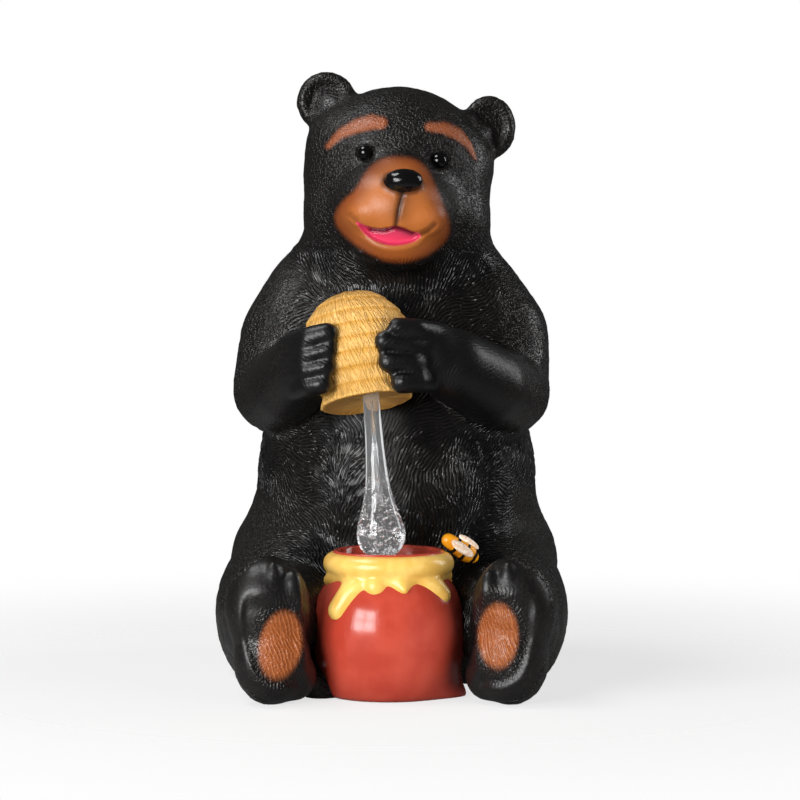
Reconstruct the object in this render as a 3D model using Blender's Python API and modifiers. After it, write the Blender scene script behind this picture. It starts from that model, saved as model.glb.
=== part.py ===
"""A garden statue: a seated black bear holds a straw beehive, and a clear honey drip hangs from it into a
honey pot. The bear, hive and pot are one resin casting. The drip, the bee on the pot and the solar panel
in the back are set into it. Sizes are in metres, with +Z up and the bear facing -Y."""

import math

import bmesh
import bpy
import numpy as np
from mathutils import Euler, Matrix, Vector

# The bear. Its forms are given in figure units, 245 to its height, so a unit is 1 mm as built.
FIGURE_HEIGHT = 0.245
UNIT = FIGURE_HEIGHT / 245

# The honey pot, which stands on the ground between the feet
POT_RADIUS = 0.0298
POT_BELLY_HEIGHT = 0.0255
POT_HEIGHT = 0.056
POT_WALL = 0.004
MOUTH_RADIUS = 0.0195
LIP_THICKNESS = 0.0022
POT_FLOOR = 0.006
POT_PLACE = (-1.0, -58.0)  # figure units
GLAZE_ROLL = 0.0046

# The beehive between the paws
HIVE_RADIUS = 0.0217
HIVE_HEIGHT = 0.045
HIVE_COILS = 8
COIL_RISE = 0.0009
HIVE_PLACE = (-13.0, -45.5, 133.8)  # figure units
HIVE_TILT = (-15.5, -9)  # degrees forward and to the side

# The clear honey drip
BULB_RADIUS = 0.0095
STEM_RADIUS = 0.0027
STEM_TAPER = 0.0135
DRIP_DIP = 0.0035  # how far the bulb hangs below the pot's lip
DRIP_INSET = 0.0045  # how far the stem goes up into the hive
DRIP_ENTRY = (0.0023, -0.0102)  # where it enters the hive's mouth, from the middle of that
FIT_GAP = 0.0003

# The bee on the pot's lip
BEE_LENGTH = 0.0175
BEE_BEARING = 110  # degrees round the pot from its front

# The solar panel in the back
PANEL_WIDTH = 0.032
PANEL_HEIGHT = 0.032
PANEL_THICKNESS = 0.0025
PANEL_PROUD = 0.0005
BEZEL_WIDTH = 0.0035
BEZEL_DEPTH = 0.012
PANEL_PLACE = (0.0, 76.0, 118.0)  # figure units
PANEL_TILT = 26  # degrees back from upright

SEGMENTS = 34
BEAR_TRIANGLES = 5000
GLAZE_TRIANGLES = 1100
BEE_TRIANGLES = 450
SINK = 0.004  # how far a form goes below the ground before it is cut flat


def clear_scene():
    for obj in list(bpy.data.objects):
        bpy.data.objects.remove(obj)


def collection_named(name):
    made = bpy.data.collections.new(name)
    bpy.context.scene.collection.children.link(made)
    return made


def add_object(name, mesh, home):
    obj = bpy.data.objects.new(name, mesh)
    home.objects.link(obj)
    return obj


def bake_modifiers(obj):
    graph = bpy.context.evaluated_depsgraph_get()
    made = bpy.data.meshes.new_from_object(obj.evaluated_get(graph))
    obj.modifiers.clear()
    obj.data = made


def flipped(point):
    return (-point[0], point[1], point[2])


def unit_ball(subdivisions):
    """The points and faces of a ball of radius 1."""
    bm = bmesh.new()
    bmesh.ops.create_icosphere(bm, subdivisions=subdivisions, radius=1)
    points = np.array([v.co for v in bm.verts])
    faces = np.array([[v.index for v in f.verts] for f in bm.faces])
    bm.free()
    return points, faces


class Clay:
    """Balls laid into one another, in figure units, then melted into one skin and smoothed."""

    def __init__(self):
        self.points, self.faces, self.count = [], [], 0
        self.fine, self.plain = unit_ball(4), unit_ball(3)

    def add(self, points, faces):
        self.points.append(points)
        self.faces.append(faces + self.count)
        self.count += len(points)

    def ball(self, centre, radii, turn=(0, 0, 0)):
        """An ellipsoid, turned by degrees about X, Y and Z."""
        points, faces = self.fine if max(radii) > 12 else self.plain
        spin = np.array(Euler([math.radians(a) for a in turn]).to_matrix())
        self.add(((points * np.array(radii)) @ spin.T + np.array(centre)) * UNIT, faces)

    def limb(self, *stations):
        """A row of balls through stations of (centre, radius)."""
        for (start, start_r), (end, end_r) in zip(stations, stations[1:]):
            start, end = Vector(start), Vector(end)
            steps = max(2, math.ceil((end - start).length / (0.2 * min(start_r, end_r))))
            for i in range(steps + 1):
                share = i / steps
                self.ball(start.lerp(end, share), (start_r + (end_r - start_r) * share,) * 3)

    def skin(self, obj):
        """Takes in an earlier skin."""
        obj.data.calc_loop_triangles()
        points = np.array([v.co for v in obj.data.vertices])
        self.add(points, np.array([t.vertices for t in obj.data.loop_triangles]))
        bpy.data.objects.remove(obj)

    def melt(self, name, voxel, rounds, home):
        mesh = bpy.data.meshes.new(name)
        mesh.from_pydata(np.concatenate(self.points), [], np.concatenate(self.faces))
        obj = add_object(name, mesh, home)
        remesh = obj.modifiers.new("melt", "REMESH")
        remesh.mode = "VOXEL"
        remesh.voxel_size = voxel * UNIT
        smooth = obj.modifiers.new("smooth", "SMOOTH")
        smooth.factor = 0.5
        smooth.iterations = rounds
        bake_modifiers(obj)
        return obj


# The bear's forms, in figure units
TRUNK = [
    ((2, 27, 78), (58, 60, 64)),  # belly
    ((1, 36, 42), (69, 60, 44)),  # rump
    ((1.5, 34, 60), (61, 60, 40)),  # hips
    ((2.5, 22, 103), (50, 55, 34)),  # waist
    ((0, 20, 128), (50, 46, 43)),  # chest
    ((0, 22, 150), (44, 38, 28)),  # shoulders
    ((1.5, 16, 170), (41, 36, 24)),  # neck
    ((2.3, 10, 201.5), (38.8, 36, 37.5)),  # skull
    ((-16, 10, 213), (20, 24, 20)),  # temples
    ((22.5, 10, 207), (20, 24, 20)),
    ((-18, 6, 187), (18.5, 25, 20)),  # cheeks
    ((23, 6, 184), (18, 25, 20)),
    ((1.5, -16, 189), (26, 23, 21)),  # root of the muzzle
    ((0, 79.9, 34), (17, 18.3, 22)),  # tail
]
HAUNCH = ((36, 8, 24), (36.5, 54, 39))
LEG = [((40, -20, 26), 26), ((47, -68, 27), 18.5)]
UPPER_ARMS = [
    [((-29, 16, 153), 23), ((-39, 10, 136), 23.5), ((-48, -2, 115), 17.3)],
    [((30, 16, 152.5), 23.5), ((40.5, 10, 136), 24.5), ((47.5, -2, 114.5), 17)],
]
FOREARMS = [
    [((-47.5, -3, 114.5), 16.5), ((-41, -28, 119), 15.5), ((-34, -45, 127), 14.5)],
    [((47.5, -3, 114.5), 17), ((38, -30, 119), 16), ((24, -45, 127), 15)],
]
PALMS = [((-33, -50, 128.5), (12, 12, 13.5)), ((16, -50, 130.5), (13, 12, 13.5))]
# Each finger's root and tip, seen from the front as (x, z), and its thickness, from the top one down
LEFT_FINGERS = [
    ((-40, 134), (-24.6, 139.8), 4.6),
    ((-41, 129), (-24.8, 133.6), 4.6),
    ((-40, 124), (-25.6, 127.2), 4.6),
    ((-36, 118), (-27.0, 120.8), 4.6),
]
RIGHT_FINGERS = [
    ((20, 139.5), (2.2, 142.6), 3.7),
    ((20, 134), (-2.6, 137), 4.2),
    ((19, 127.5), (-0.8, 129.2), 4.6),
    ((17, 121.5), (4.4, 121.4), 4.8),
]
# A foot stands here and turns this many degrees inwards. Its toes run from the outer one to the inner.
FOOT_PLACE = (46.5, -82, 0)
FOOT_TURN = 17
TOES = [(-12.3, -6.2, 40), (-4, -9.6, 45), (4.5, -9.2, 46.5), (11.5, -7, 43)]
# Low swells where the casting closes between pot and feet
WEBS = [((-27, -62, 3), (8, 11, 11)), ((26, -63, 3), (8, 12, 11))]
EARS = [((-26.6, 15, 232.6), (12.4, 6, 12.4), 0), ((39.8, 15, 222.2), (11.3, 6, 13.2), 12)]
EAR_ROOTS = [((-21, 12, 226), (13, 9, 11)), ((30, 12, 218), (13, 9, 11))]
EYES = [(-10.3, -22.6, 210.6), (18.9, -21.8, 207.4)]
EYE_RADIUS = 3.2
NOSE = ((4.9, -43.8, 199), (7.8, 6.2, 4.8))
# Where the mouth opens, as (x, z) seen from the front, and its half height there
MOUTH = [((-13.5, 183), 1.2), ((-8, 180), 2.6), ((-0.5, 178), 3.2), ((6.5, 177.5), 3.1), ((11.5, 178.8), 1.4)]
SMILE = [[(-13, 183), (-17, 185.5)], [(11, 178.8), (17, 181.8)]]
PHILTRUM = [(4.8, 194), (3.5, 188), (2.4, 181)]
BROWS = [[(-25, 212), (-17, 221), (-4, 223.5)], [(13, 221), (25, 219), (33, 207)]]


def on_foot(side, inwards, y, z):
    """A point of a foot's own frame, in which the sole looks along -Y."""
    spot = Matrix.Rotation(math.radians(FOOT_TURN), 4, "Z") @ Vector((-inwards, y, z))
    return (side * (FOOT_PLACE[0] + spot.x), FOOT_PLACE[1] + spot.y, spot.z)


def trunk(home):
    clay = Clay()
    for centre, radii in TRUNK:
        clay.ball(centre, radii)
    centre, radii = HAUNCH
    clay.ball(centre, radii)
    clay.ball(flipped(centre), radii)
    clay.limb(*LEG)
    clay.limb(*[(flipped(p), r) for p, r in LEG])
    for arm in UPPER_ARMS:
        clay.limb(*arm)
    return clay.melt("trunk", 2, 30, home)


def limbs_and_muzzle(home):
    clay = Clay()
    clay.skin(trunk(home))
    for arm in FOREARMS:
        clay.limb(*arm)
    for centre, radii in PALMS:
        clay.ball(centre, radii)
    clay.ball((1.5, -20, 189), (24, 27, 19), (0, 8, 0))  # muzzle
    clay.ball((4, -24, 202), (13, 16, 9), (20, 8, 0))  # bridge of the nose
    clay.ball((0.2, -20, 174.5), (18, 19, 11), (0, 8, 0))  # chin
    for centre, radii in EAR_ROOTS + WEBS:
        clay.ball(centre, radii)
    for side in (-1, 1):
        clay.ball(on_foot(side, 1.6, -1, 17), (15, 14, 18), (0, 0, -side * FOOT_TURN))
        clay.ball(on_foot(side, -0.4, 0, 36), (16.6, 15, 20.5), (0, 0, -side * FOOT_TURN))
        clay.ball(on_foot(side, 8, 5, 10), (9.5, 9.5, 10))
    return clay.melt("limbs", 1.6, 10, home)


def figure(home):
    clay = Clay()
    clay.skin(limbs_and_muzzle(home))
    clay.ball((-7, -34, 187.5), (10, 13.5, 8))  # upper lip
    clay.ball((10.5, -34, 185.5), (10, 13.5, 8))
    for centre, radii, turn in EARS:
        clay.ball(centre, radii, (0, 0, turn))
    clay.ball(*NOSE)
    for (root_x, root_z), (x, z), thick in LEFT_FINGERS + RIGHT_FINGERS:
        middle = (0.4 * root_x + 0.6 * x, -63.5, 0.4 * root_z + 0.6 * z + 0.6)
        clay.limb(((root_x, -56, root_z), thick + 0.4), (middle, thick + 0.3), ((x, -65.5, z), thick))
    for side in (-1, 1):
        for inwards, y, z in TOES:
            clay.ball(on_foot(side, inwards, y, z), (3.7, 5, 8.5))
    return clay.melt("figure", 1.3, 3, home)


def distance_to_path(points, path):
    """The distance from each point to a path of two or more corners, and how far along it, in corners."""
    best = np.full(len(points), np.inf)
    along = np.zeros(len(points))
    for i, (a, b) in enumerate(zip(path, path[1:])):
        a, b = np.array(a, float), np.array(b, float)
        share = np.clip((points - a) @ (b - a) / ((b - a) @ (b - a)), 0, 1)
        gap = np.linalg.norm(points - (a + share[:, None] * (b - a)), axis=1)
        nearer = gap < best
        best[nearer] = gap[nearer]
        along[nearer] = i + share[nearer]
    return best, along


def press(points, facing, path, width, depth):
    """Presses the front of the figure in along a path of (x, z), or raises it with a negative depth."""
    gap, along = distance_to_path(points[:, [0, 2]], path)
    half = np.interp(along, range(len(width)), width) if np.ndim(width) else width
    fall = np.clip(1 - (gap / half) ** 2, 0, 1) ** 1.5
    points[:, 1] += depth * fall * facing


def sculpt_front(obj):
    """Ears, eye sockets, brows, philtrum, mouth and the grooves of the hands, as strokes from the front."""
    mesh = obj.data
    points = np.empty(len(mesh.vertices) * 3)
    mesh.vertices.foreach_get("co", points)
    points = points.reshape(-1, 3) / UNIT
    for (x, y, z), radii, _ in EARS:
        front = np.clip((y - points[:, 1]) / 3, 0, 1) * (points[:, 1] > 0)
        press(points, front, [(x - 0.5, z), (x + 0.5, z)], radii[0] * 0.75, 3.2)
    facing = np.clip((-10 - points[:, 1]) / 5, 0, 1)
    for x, _, z in EYES:
        press(points, facing, [(x - 1.5, z), (x + 1.5, z)], 6.5, 2)
    for path in BROWS:
        press(points, facing, path, 5, -1)
    press(points, facing, PHILTRUM, 1.8, 1.1)
    for path in SMILE:
        press(points, facing, path, 2.0, 1.0)
    press(points, facing, [p for p, _ in MOUTH], [1.25 * h for _, h in MOUTH], 4.5)
    hands = np.clip((-56 - points[:, 1]) / 3, 0, 1)
    for fingers in (LEFT_FINGERS, RIGHT_FINGERS):
        for upper, lower in zip(fingers, fingers[1:]):
            root, tip = ((np.array(upper[i]) + lower[i]) / 2 for i in (0, 1))
            press(points, hands, [tip, 0.3 * tip + 0.7 * root], 1.9, 1.8)
    mesh.vertices.foreach_set("co", (points * UNIT).ravel())
    mesh.update()


def thinned(obj, triangles):
    """Reduces a mesh to about that many triangles."""
    obj.data.calc_loop_triangles()
    decimate = obj.modifiers.new("thin", "DECIMATE")
    decimate.ratio = min(1, triangles / len(obj.data.loop_triangles))
    bake_modifiers(obj)
    return obj


def turned(name, profile, home, segments=SEGMENTS):
    """A solid turned about +Z from a profile of (radius, height), listed from the top down its outer side."""
    mesh = bpy.data.meshes.new(name)
    points = [(r, 0, z) for r, z in profile]
    mesh.from_pydata(points, [(i, i + 1) for i in range(len(points) - 1)], [])
    obj = add_object(name, mesh, home)
    screw = obj.modifiers.new("turn", "SCREW")
    screw.steps = screw.render_steps = segments
    screw.use_merge_vertices = True
    screw.merge_threshold = 1e-5
    bake_modifiers(obj)
    return obj


def pot_radius_at(z):
    """The pot's outer radius. It draws in less below its belly than above it."""
    reach = (1.77 if z < POT_BELLY_HEIGHT else 1.23) * POT_BELLY_HEIGHT
    return POT_RADIUS * math.sqrt(max(0, 1 - ((z - POT_BELLY_HEIGHT) / reach) ** 2))


def pot_profile():
    """Lip, neck and belly, down to below the ground."""
    lip = MOUTH_RADIUS + LIP_THICKNESS
    neck = POT_HEIGHT - 1.6 * GLAZE_ROLL
    heights = [neck + (-SINK - neck) * i / 9 for i in range(1, 10)]
    belly = [(max(lip if z > POT_BELLY_HEIGHT else 0, pot_radius_at(z)), z) for z in heights]
    return [(0, POT_HEIGHT), (lip, POT_HEIGHT), (lip, neck)] + belly + [(0, -SINK)]


def pot_hollow_profile():
    """The inside of the pot, whose wall follows the belly."""
    top = POT_HEIGHT + SINK
    heights = [POT_HEIGHT - 0.012 - (POT_HEIGHT - 0.012 - POT_FLOOR) * i / 5 for i in range(6)]
    inside = [(max(MOUTH_RADIUS * 0.9, pot_radius_at(z) - POT_WALL), z) for z in heights[1:]]
    return [(0, top), (MOUTH_RADIUS, top), (MOUTH_RADIUS, heights[0])] + inside + [(0, POT_FLOOR)]


def pot_spot(bearing, z, out=0):
    """A point on the pot's outside at a bearing from its front, in degrees towards +X."""
    angle = math.radians(bearing)
    radius = max(pot_radius_at(z), MOUTH_RADIUS + LIP_THICKNESS) + out
    return Vector((radius * math.sin(angle), -radius * math.cos(angle), z))


# The honey that runs down the pot: bearing at the top and at the tip, height of the tip as a share of
# the pot's, and half width in metres
HONEY_RUNS = [
    (-34, -46, 0.565, 0.0041),
    (-80, -86, 0.79, 0.0030),
    (-13, -13, 0.775, 0.0038),
    (19, 15, 0.81, 0.0050),
    (42, 58, 0.68, 0.0036),
    (110, 108, 0.74, 0.0035),
    (152, 156, 0.66, 0.0040),
    (-160, -163, 0.76, 0.0037),
    (-122, -124, 0.68, 0.0038),
]


def glaze(home):
    """The roll of honey round the pot's neck, with its runs."""
    clay = Clay()
    roll_z = POT_HEIGHT - 0.0006 - GLAZE_ROLL
    for i in range(72):
        angle = math.tau * i / 72
        ring = MOUTH_RADIUS + LIP_THICKNESS - 0.0008
        spot = Vector((ring * math.sin(angle), -ring * math.cos(angle), roll_z))
        clay.ball(spot / UNIT, (GLAZE_ROLL / UNIT,) * 3)
        clay.ball(pot_spot(5 * i, roll_z - 1.2 * GLAZE_ROLL, -0.0018) / UNIT, (0.72 * GLAZE_ROLL / UNIT,) * 3)
    for top_bearing, tip_bearing, tip, half in HONEY_RUNS:
        stations = []
        for i in range(5):
            share = i / 4
            z = roll_z + (tip * POT_HEIGHT + half - roll_z) * share
            bearing = top_bearing + (tip_bearing - top_bearing) * share
            thick = half * (1.1 - 0.15 * math.sin(math.pi * share))
            stations.append((pot_spot(bearing, z, -0.4 * half) / UNIT, thick / UNIT))
        clay.limb(*stations)
    return thinned(clay.melt("glaze", 1.0, 3, home), GLAZE_TRIANGLES)


def hive_matrix():
    forward, side = (math.radians(a) for a in HIVE_TILT)
    spin = Matrix.Rotation(side, 4, "Y") @ Matrix.Rotation(forward, 4, "X")
    return Matrix.Translation(Vector(HIVE_PLACE) * UNIT) @ spin


def eased(share):
    """From 0 to 1 and level at both ends."""
    share = min(1, max(0, share))
    return share * share * (3 - 2 * share)


def hive_radius_at(z):
    """A dome above, a neck below it, and a lip that flares out from the neck."""
    share = abs(z) / (HIVE_HEIGHT / 2)
    if z > 0:
        return HIVE_RADIUS * math.sqrt(max(0, 1 - share**2))
    return HIVE_RADIUS * (1 - 0.22 * eased((share - 0.15) / 0.65) + 0.035 * eased((share - 0.8) / 0.18))


def hive(home):
    """Coiled straw, each coil proud of the next one down, to a lip round the flat mouth."""
    half = HIVE_HEIGHT / 2
    steps = HIVE_COILS * 3
    profile = [(0, half)]
    for i in range(1, steps + 1):
        z = half - HIVE_HEIGHT * i / steps
        rise = COIL_RISE * (i % 3 / 2 - 0.5)
        profile.append((hive_radius_at(z) + (rise if i < steps else 0), z))
    profile.append((0, -half))
    obj = turned("hive", profile, home, 28)
    obj.data.transform(hive_matrix())
    return obj


def drip_ends():
    """The foot of the bulb, in the pot's mouth, and the point where the stem enters the hive."""
    x, y = (v * UNIT for v in POT_PLACE)
    foot = Vector((x - 0.0022, y - 0.0022, POT_HEIGHT - DRIP_DIP))
    return foot, hive_matrix() @ Vector((*DRIP_ENTRY, -HIVE_HEIGHT / 2))


def drip_matrix():
    foot, entry = drip_ends()
    turn = (entry - foot).to_track_quat("Z", "Y").to_matrix().to_4x4()
    return Matrix.Translation(foot) @ turn


def drip_length():
    foot, entry = drip_ends()
    return (entry - foot).length + DRIP_INSET


def honey_drip(home):
    """A bulb that draws out into a long stem."""
    length = drip_length()
    profile = [(0, length)]
    for i in range(12):
        z = BULB_RADIUS + (length - BULB_RADIUS) * (1 - i / 12) ** 1.6
        swell = 1 / (1 + ((z - BULB_RADIUS) / STEM_TAPER) ** 2)
        profile.append((STEM_RADIUS + (BULB_RADIUS - STEM_RADIUS) * swell, z))
    for i in range(5):
        angle = math.pi / 2 * i / 5
        profile.append((BULB_RADIUS * math.cos(angle), BULB_RADIUS * (1 - math.sin(angle))))
    profile.append((0, 0))
    obj = turned("honey_drip", profile, home, 20)
    obj.data.transform(drip_matrix())
    return obj


def drip_socket(home):
    """The bore in the hive that takes the stem."""
    top = drip_length() + FIT_GAP
    bottom = top - 2 * DRIP_INSET
    radius = STEM_RADIUS + 0.0006 + FIT_GAP
    obj = turned("drip_socket", [(0, top), (radius, top), (radius, bottom), (0, bottom)], home, 28)
    obj.data.transform(drip_matrix())
    return obj


def moved_home(obj, home):
    for old in list(obj.users_collection):
        old.objects.unlink(obj)
    home.objects.link(obj)
    return obj


def ball_object(name, centre, radius, home):
    """A ball at a place and of a radius in figure units."""
    points, faces = unit_ball(2)
    mesh = bpy.data.meshes.new(name)
    mesh.from_pydata((points * radius + np.array(centre)) * UNIT, [], faces)
    return add_object(name, mesh, home)


def box(name, size, place, home, bevel=0):
    bpy.ops.mesh.primitive_cube_add(size=1)
    obj = bpy.context.object
    obj.name = name
    obj.data.transform(Matrix.Diagonal((*size, 1)))
    if bevel:
        edges = obj.modifiers.new("edges", "BEVEL")
        edges.width = bevel
        edges.segments = 2
        bake_modifiers(obj)
    obj.data.transform(place)
    return moved_home(obj, home)


def panel_matrix():
    """The panel's face lies in this frame's X and Z, and looks along +Y."""
    return Matrix.Translation(Vector(PANEL_PLACE) * UNIT) @ Matrix.Rotation(math.radians(PANEL_TILT), 4, "X")


def bezel(home):
    size = (PANEL_WIDTH + 2 * BEZEL_WIDTH, BEZEL_DEPTH, PANEL_HEIGHT + 2 * BEZEL_WIDTH)
    place = panel_matrix() @ Matrix.Translation((0, -BEZEL_DEPTH / 2, 0))
    return box("bezel", size, place, home, 0.0015)


def panel_recess(home):
    deep = PANEL_THICKNESS - PANEL_PROUD + FIT_GAP
    size = (PANEL_WIDTH + 2 * FIT_GAP, 2 * deep, PANEL_HEIGHT + 2 * FIT_GAP)
    return box("panel_recess", size, panel_matrix(), home)


def solar_panel(home):
    place = panel_matrix() @ Matrix.Translation((0, PANEL_PROUD - PANEL_THICKNESS / 2, 0))
    return box("solar_panel", (PANEL_WIDTH, PANEL_THICKNESS, PANEL_HEIGHT), place, home, 0.0004)


def bee_seat(home):
    """The roll of honey, a fit's gap larger, which the bee is hollowed to sit on."""
    bpy.ops.mesh.primitive_torus_add(
        major_radius=MOUTH_RADIUS + LIP_THICKNESS - 0.0008,
        minor_radius=GLAZE_ROLL + 1.6 * FIT_GAP,
        major_segments=60,
        minor_segments=18,
        location=(*(v * UNIT for v in POT_PLACE), POT_HEIGHT - 0.0006 - GLAZE_ROLL),
    )
    return moved_home(bpy.context.object, home)


def bee(home):
    """Head, thorax and abdomen with two folded wings, in shares of the bee's length."""
    long = BEE_LENGTH / UNIT
    spot = pot_spot(BEE_BEARING, POT_HEIGHT - 0.0006, 0.0082) / UNIT
    middle = spot + Vector((*POT_PLACE, 0))
    along = Vector((0.80, 0.20, -0.56)).normalized()
    up = Vector((0.1, -0.75, 0.65)).normalized()
    clay = Clay()
    clay.limb((middle - along * 0.30 * long, 0.19 * long), (middle - along * 0.18 * long, 0.2 * long))
    clay.limb((middle - along * 0.05 * long, 0.22 * long), (middle + along * 0.12 * long, 0.25 * long))
    clay.limb((middle + along * 0.2 * long, 0.24 * long), (middle + along * 0.34 * long, 0.14 * long))
    for side in (-1, 1):
        across = along.cross(up) * side
        root = middle + up * 0.2 * long + across * 0.06 * long - along * 0.08 * long
        turn = along.to_track_quat("X", "Z").to_euler()
        clay.ball(root + along * 0.16 * long + across * 0.1 * long, (0.34 * long, 0.15 * long, 0.1 * long), [math.degrees(a) for a in turn])
    obj = thinned(clay.melt("bee", 0.5, 2, home), BEE_TRIANGLES)
    combine(obj, [bee_seat(home)], "DIFFERENCE")
    return obj


def combine(obj, others, operation):
    """Joins other solids to this one, or cuts them away, all in one step, and removes them."""
    operands = bpy.data.collections.new("operands")
    for other in others:
        operands.objects.link(other)
    boolean = obj.modifiers.new(operation.lower(), "BOOLEAN")
    boolean.operation = operation
    boolean.solver = "EXACT"
    boolean.operand_type = "COLLECTION"
    boolean.collection = operands
    bake_modifiers(obj)
    for other in others:
        bpy.data.objects.remove(other)
    bpy.data.collections.remove(operands)


def ground(home):
    """All that is below the statue's flat base."""
    return box("ground", (1, 1, 0.1), Matrix.Translation((0, 0, -0.05)), home)


def fill_pockets(obj):
    """Fills sealed pockets, such as those between the fingers and the hive: only the outer skin is left."""
    bm = bmesh.new()
    bm.from_mesh(obj.data)
    skin = {max(bm.verts, key=lambda v: v.co.z)}
    edge = list(skin)
    while edge:
        found = {e.other_vert(edge[0]) for e in edge[0].link_edges} - skin
        skin |= found
        edge = edge[1:] + list(found)
    bmesh.ops.delete(bm, geom=[v for v in bm.verts if v not in skin], context="VERTS")
    bm.to_mesh(obj.data)
    bm.free()


def bear_statue(home):
    """The casting: bear, hive and pot in one."""
    body = figure(home)
    sculpt_front(body)
    thinned(body, BEAR_TRIANGLES)
    body.name = "bear_statue"
    eyes = [ball_object("eye", eye, EYE_RADIUS, home) for eye in EYES]
    stand = Matrix.Translation((*(v * UNIT for v in POT_PLACE), 0))
    pot = turned("pot", pot_profile(), home)
    hollow = turned("pot_hollow", pot_hollow_profile(), home)
    honey = glaze(home)
    for piece in (pot, hollow, honey):
        piece.data.transform(stand)
    combine(body, [*eyes, pot, honey, hive(home), bezel(home)], "UNION")
    fill_pockets(body)
    combine(body, [hollow, drip_socket(home), panel_recess(home), ground(home)], "DIFFERENCE")
    return body


def painted(obj, colour, roughness, metallic=0.0, transmission=0.0):
    material = bpy.data.materials.new(obj.name + "_finish")
    material.use_nodes = True
    shader = material.node_tree.nodes["Principled BSDF"]
    shader.inputs["Base Color"].default_value = (*colour, 1)
    shader.inputs["Roughness"].default_value = roughness
    shader.inputs["Metallic"].default_value = metallic
    shader.inputs["Transmission Weight"].default_value = transmission
    obj.data.materials.clear()
    obj.data.materials.append(material)


def main():
    clear_scene()
    home = collection_named("solar_bear_garden_statue")
    painted(bear_statue(home), (0.012, 0.012, 0.013), 0.4)
    painted(honey_drip(home), (0.9, 0.92, 0.93), 0.08, transmission=1)
    painted(bee(home), (0.8, 0.36, 0.03), 0.45)
    painted(solar_panel(home), (0.01, 0.02, 0.07), 0.2)


main()
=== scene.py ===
"""The looks of a seated bear garden statue: painted cast resin, a clear honey drip, a bee and a solar panel.
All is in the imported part's frame, with +Z up and the bear facing -Y. Forms are given in mm."""

import math

import bpy
import numpy as np
from mathutils import Matrix, Vector


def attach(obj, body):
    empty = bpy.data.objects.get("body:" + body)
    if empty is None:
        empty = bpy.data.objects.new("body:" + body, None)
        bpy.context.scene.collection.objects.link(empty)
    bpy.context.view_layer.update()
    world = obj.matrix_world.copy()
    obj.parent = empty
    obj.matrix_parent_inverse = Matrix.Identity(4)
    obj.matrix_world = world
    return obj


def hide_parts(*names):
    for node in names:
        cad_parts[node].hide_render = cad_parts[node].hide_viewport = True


MM = 0.001

# The pot between the feet
POT_RADIUS = 29.8
POT_BELLY_HEIGHT = 25.5
POT_HEIGHT = 56.0
POT_WALL = 4.0
MOUTH_RADIUS = 19.5
LIP_THICKNESS = 2.2
POT_FLOOR = 6.0
POT_PLACE = Vector((-1, -58, 0))
GLAZE_ROLL = 4.6
RUN_DEPTH = 2.1
RUN_STEPS = 12

# The beehive between the paws
HIVE_RADIUS = 21.7
HIVE_HEIGHT = 45.0
HIVE_COILS = 8
HIVE_PLACE = Vector((-13, -45.5, 133.8))
HIVE_TILT = (-15.5, -9)

# The clear honey drip
BULB_RADIUS = 9.5
STEM_RADIUS = 2.7
STEM_TAPER = 13.5
DRIP_DIP = 3.5
DRIP_INSET = 4.5
DRIP_ENTRY = (2.3, -10.2)
BUBBLES = 560

# The bee on the pot's lip
BEE_LENGTH = 17.5
BEE_BEARING = 110

# The solar panel in the back
PANEL_SIDE = 32.0
BEZEL_WIDTH = 3.5
BEZEL_DEPTH = 12.0
PANEL_PLACE = Vector((0, 76, 118))
PANEL_TILT = 26

# The carving
EAR_DISH_DEPTH = 3.6
SOLE_DISH_DEPTH = 2.3
GROOVE_DEPTH = 1.7
GROOVE_HALF_WIDTH = 1.6
TUFT_HEIGHT = 0.85
TUFT_LENGTH = 5.0
TUFT_WIDTH = 2.0
TUFT_SPACINGS = (7.0, 5.0)

# The fur's strokes, finer than the mesh, and their relief
STROKE_LENGTH = 4.0
STROKE_SPACING = 1.5
DABS_EACH_MM = 0.95
STROKE_RELIEF = 0.75

# The camera's place and the scale of its picture, in pixels for each unit of slope
EYE_DISTANCE = 1200.0
EYE_HEIGHT = 170.0
EYE_ACROSS = 3.4
PICTURE_SCALE = 2959.0
PICTURE_SIDE = 800
HORIZON = 255.0

# The studio, in metres and watts
FLOOR_FADE = (0.12, 0.42)
FLOOR_OPACITY = 0.3
LIGHTS_AIM = Vector((0, -0.02, 0.11))
KEY_PLACE = Vector((-0.66, -0.92, 0.3))
PANE_SIZE = (0.3, 0.24)
PANE_STEPS = (0.17, 0.14)
PANE_POWER = 3.2
SOFTBOXES = {
    "top_softbox": ((-0.5, -0.1, 1.05), (0.5, 0.4), 5),
    "side_softbox": ((1.0, 0.3, 0.5), (0.25, 0.6), 2.5),
}
FILL_SCREENS = {"right_screen": ((0.9, -0.85, 0.12), 10), "left_screen": ((-0.8, -0.95, 0.0), 6)}
FILL_SIZE = (0.8, 0.8)
ROOM_LIGHT = 0.05

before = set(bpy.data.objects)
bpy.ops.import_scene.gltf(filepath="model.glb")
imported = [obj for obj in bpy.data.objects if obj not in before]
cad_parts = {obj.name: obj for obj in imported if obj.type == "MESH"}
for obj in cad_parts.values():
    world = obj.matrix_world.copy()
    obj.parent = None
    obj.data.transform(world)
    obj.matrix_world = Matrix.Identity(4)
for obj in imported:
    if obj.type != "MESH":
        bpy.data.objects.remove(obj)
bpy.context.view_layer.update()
bpy.ops.object.select_all(action="DESELECT")


# Shaping


def active():
    return bpy.context.view_layer.objects.active


def only(obj):
    """Selects one object and nothing else."""
    bpy.ops.object.select_all(action="DESELECT")
    obj.select_set(True)
    bpy.context.view_layer.objects.active = obj
    return obj


def settled(obj, name):
    """Names an object and puts its place into its mesh."""
    only(obj)
    bpy.ops.object.transform_apply(location=True, rotation=True, scale=True)
    obj.name = name
    obj.data.name = name
    return obj


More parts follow.
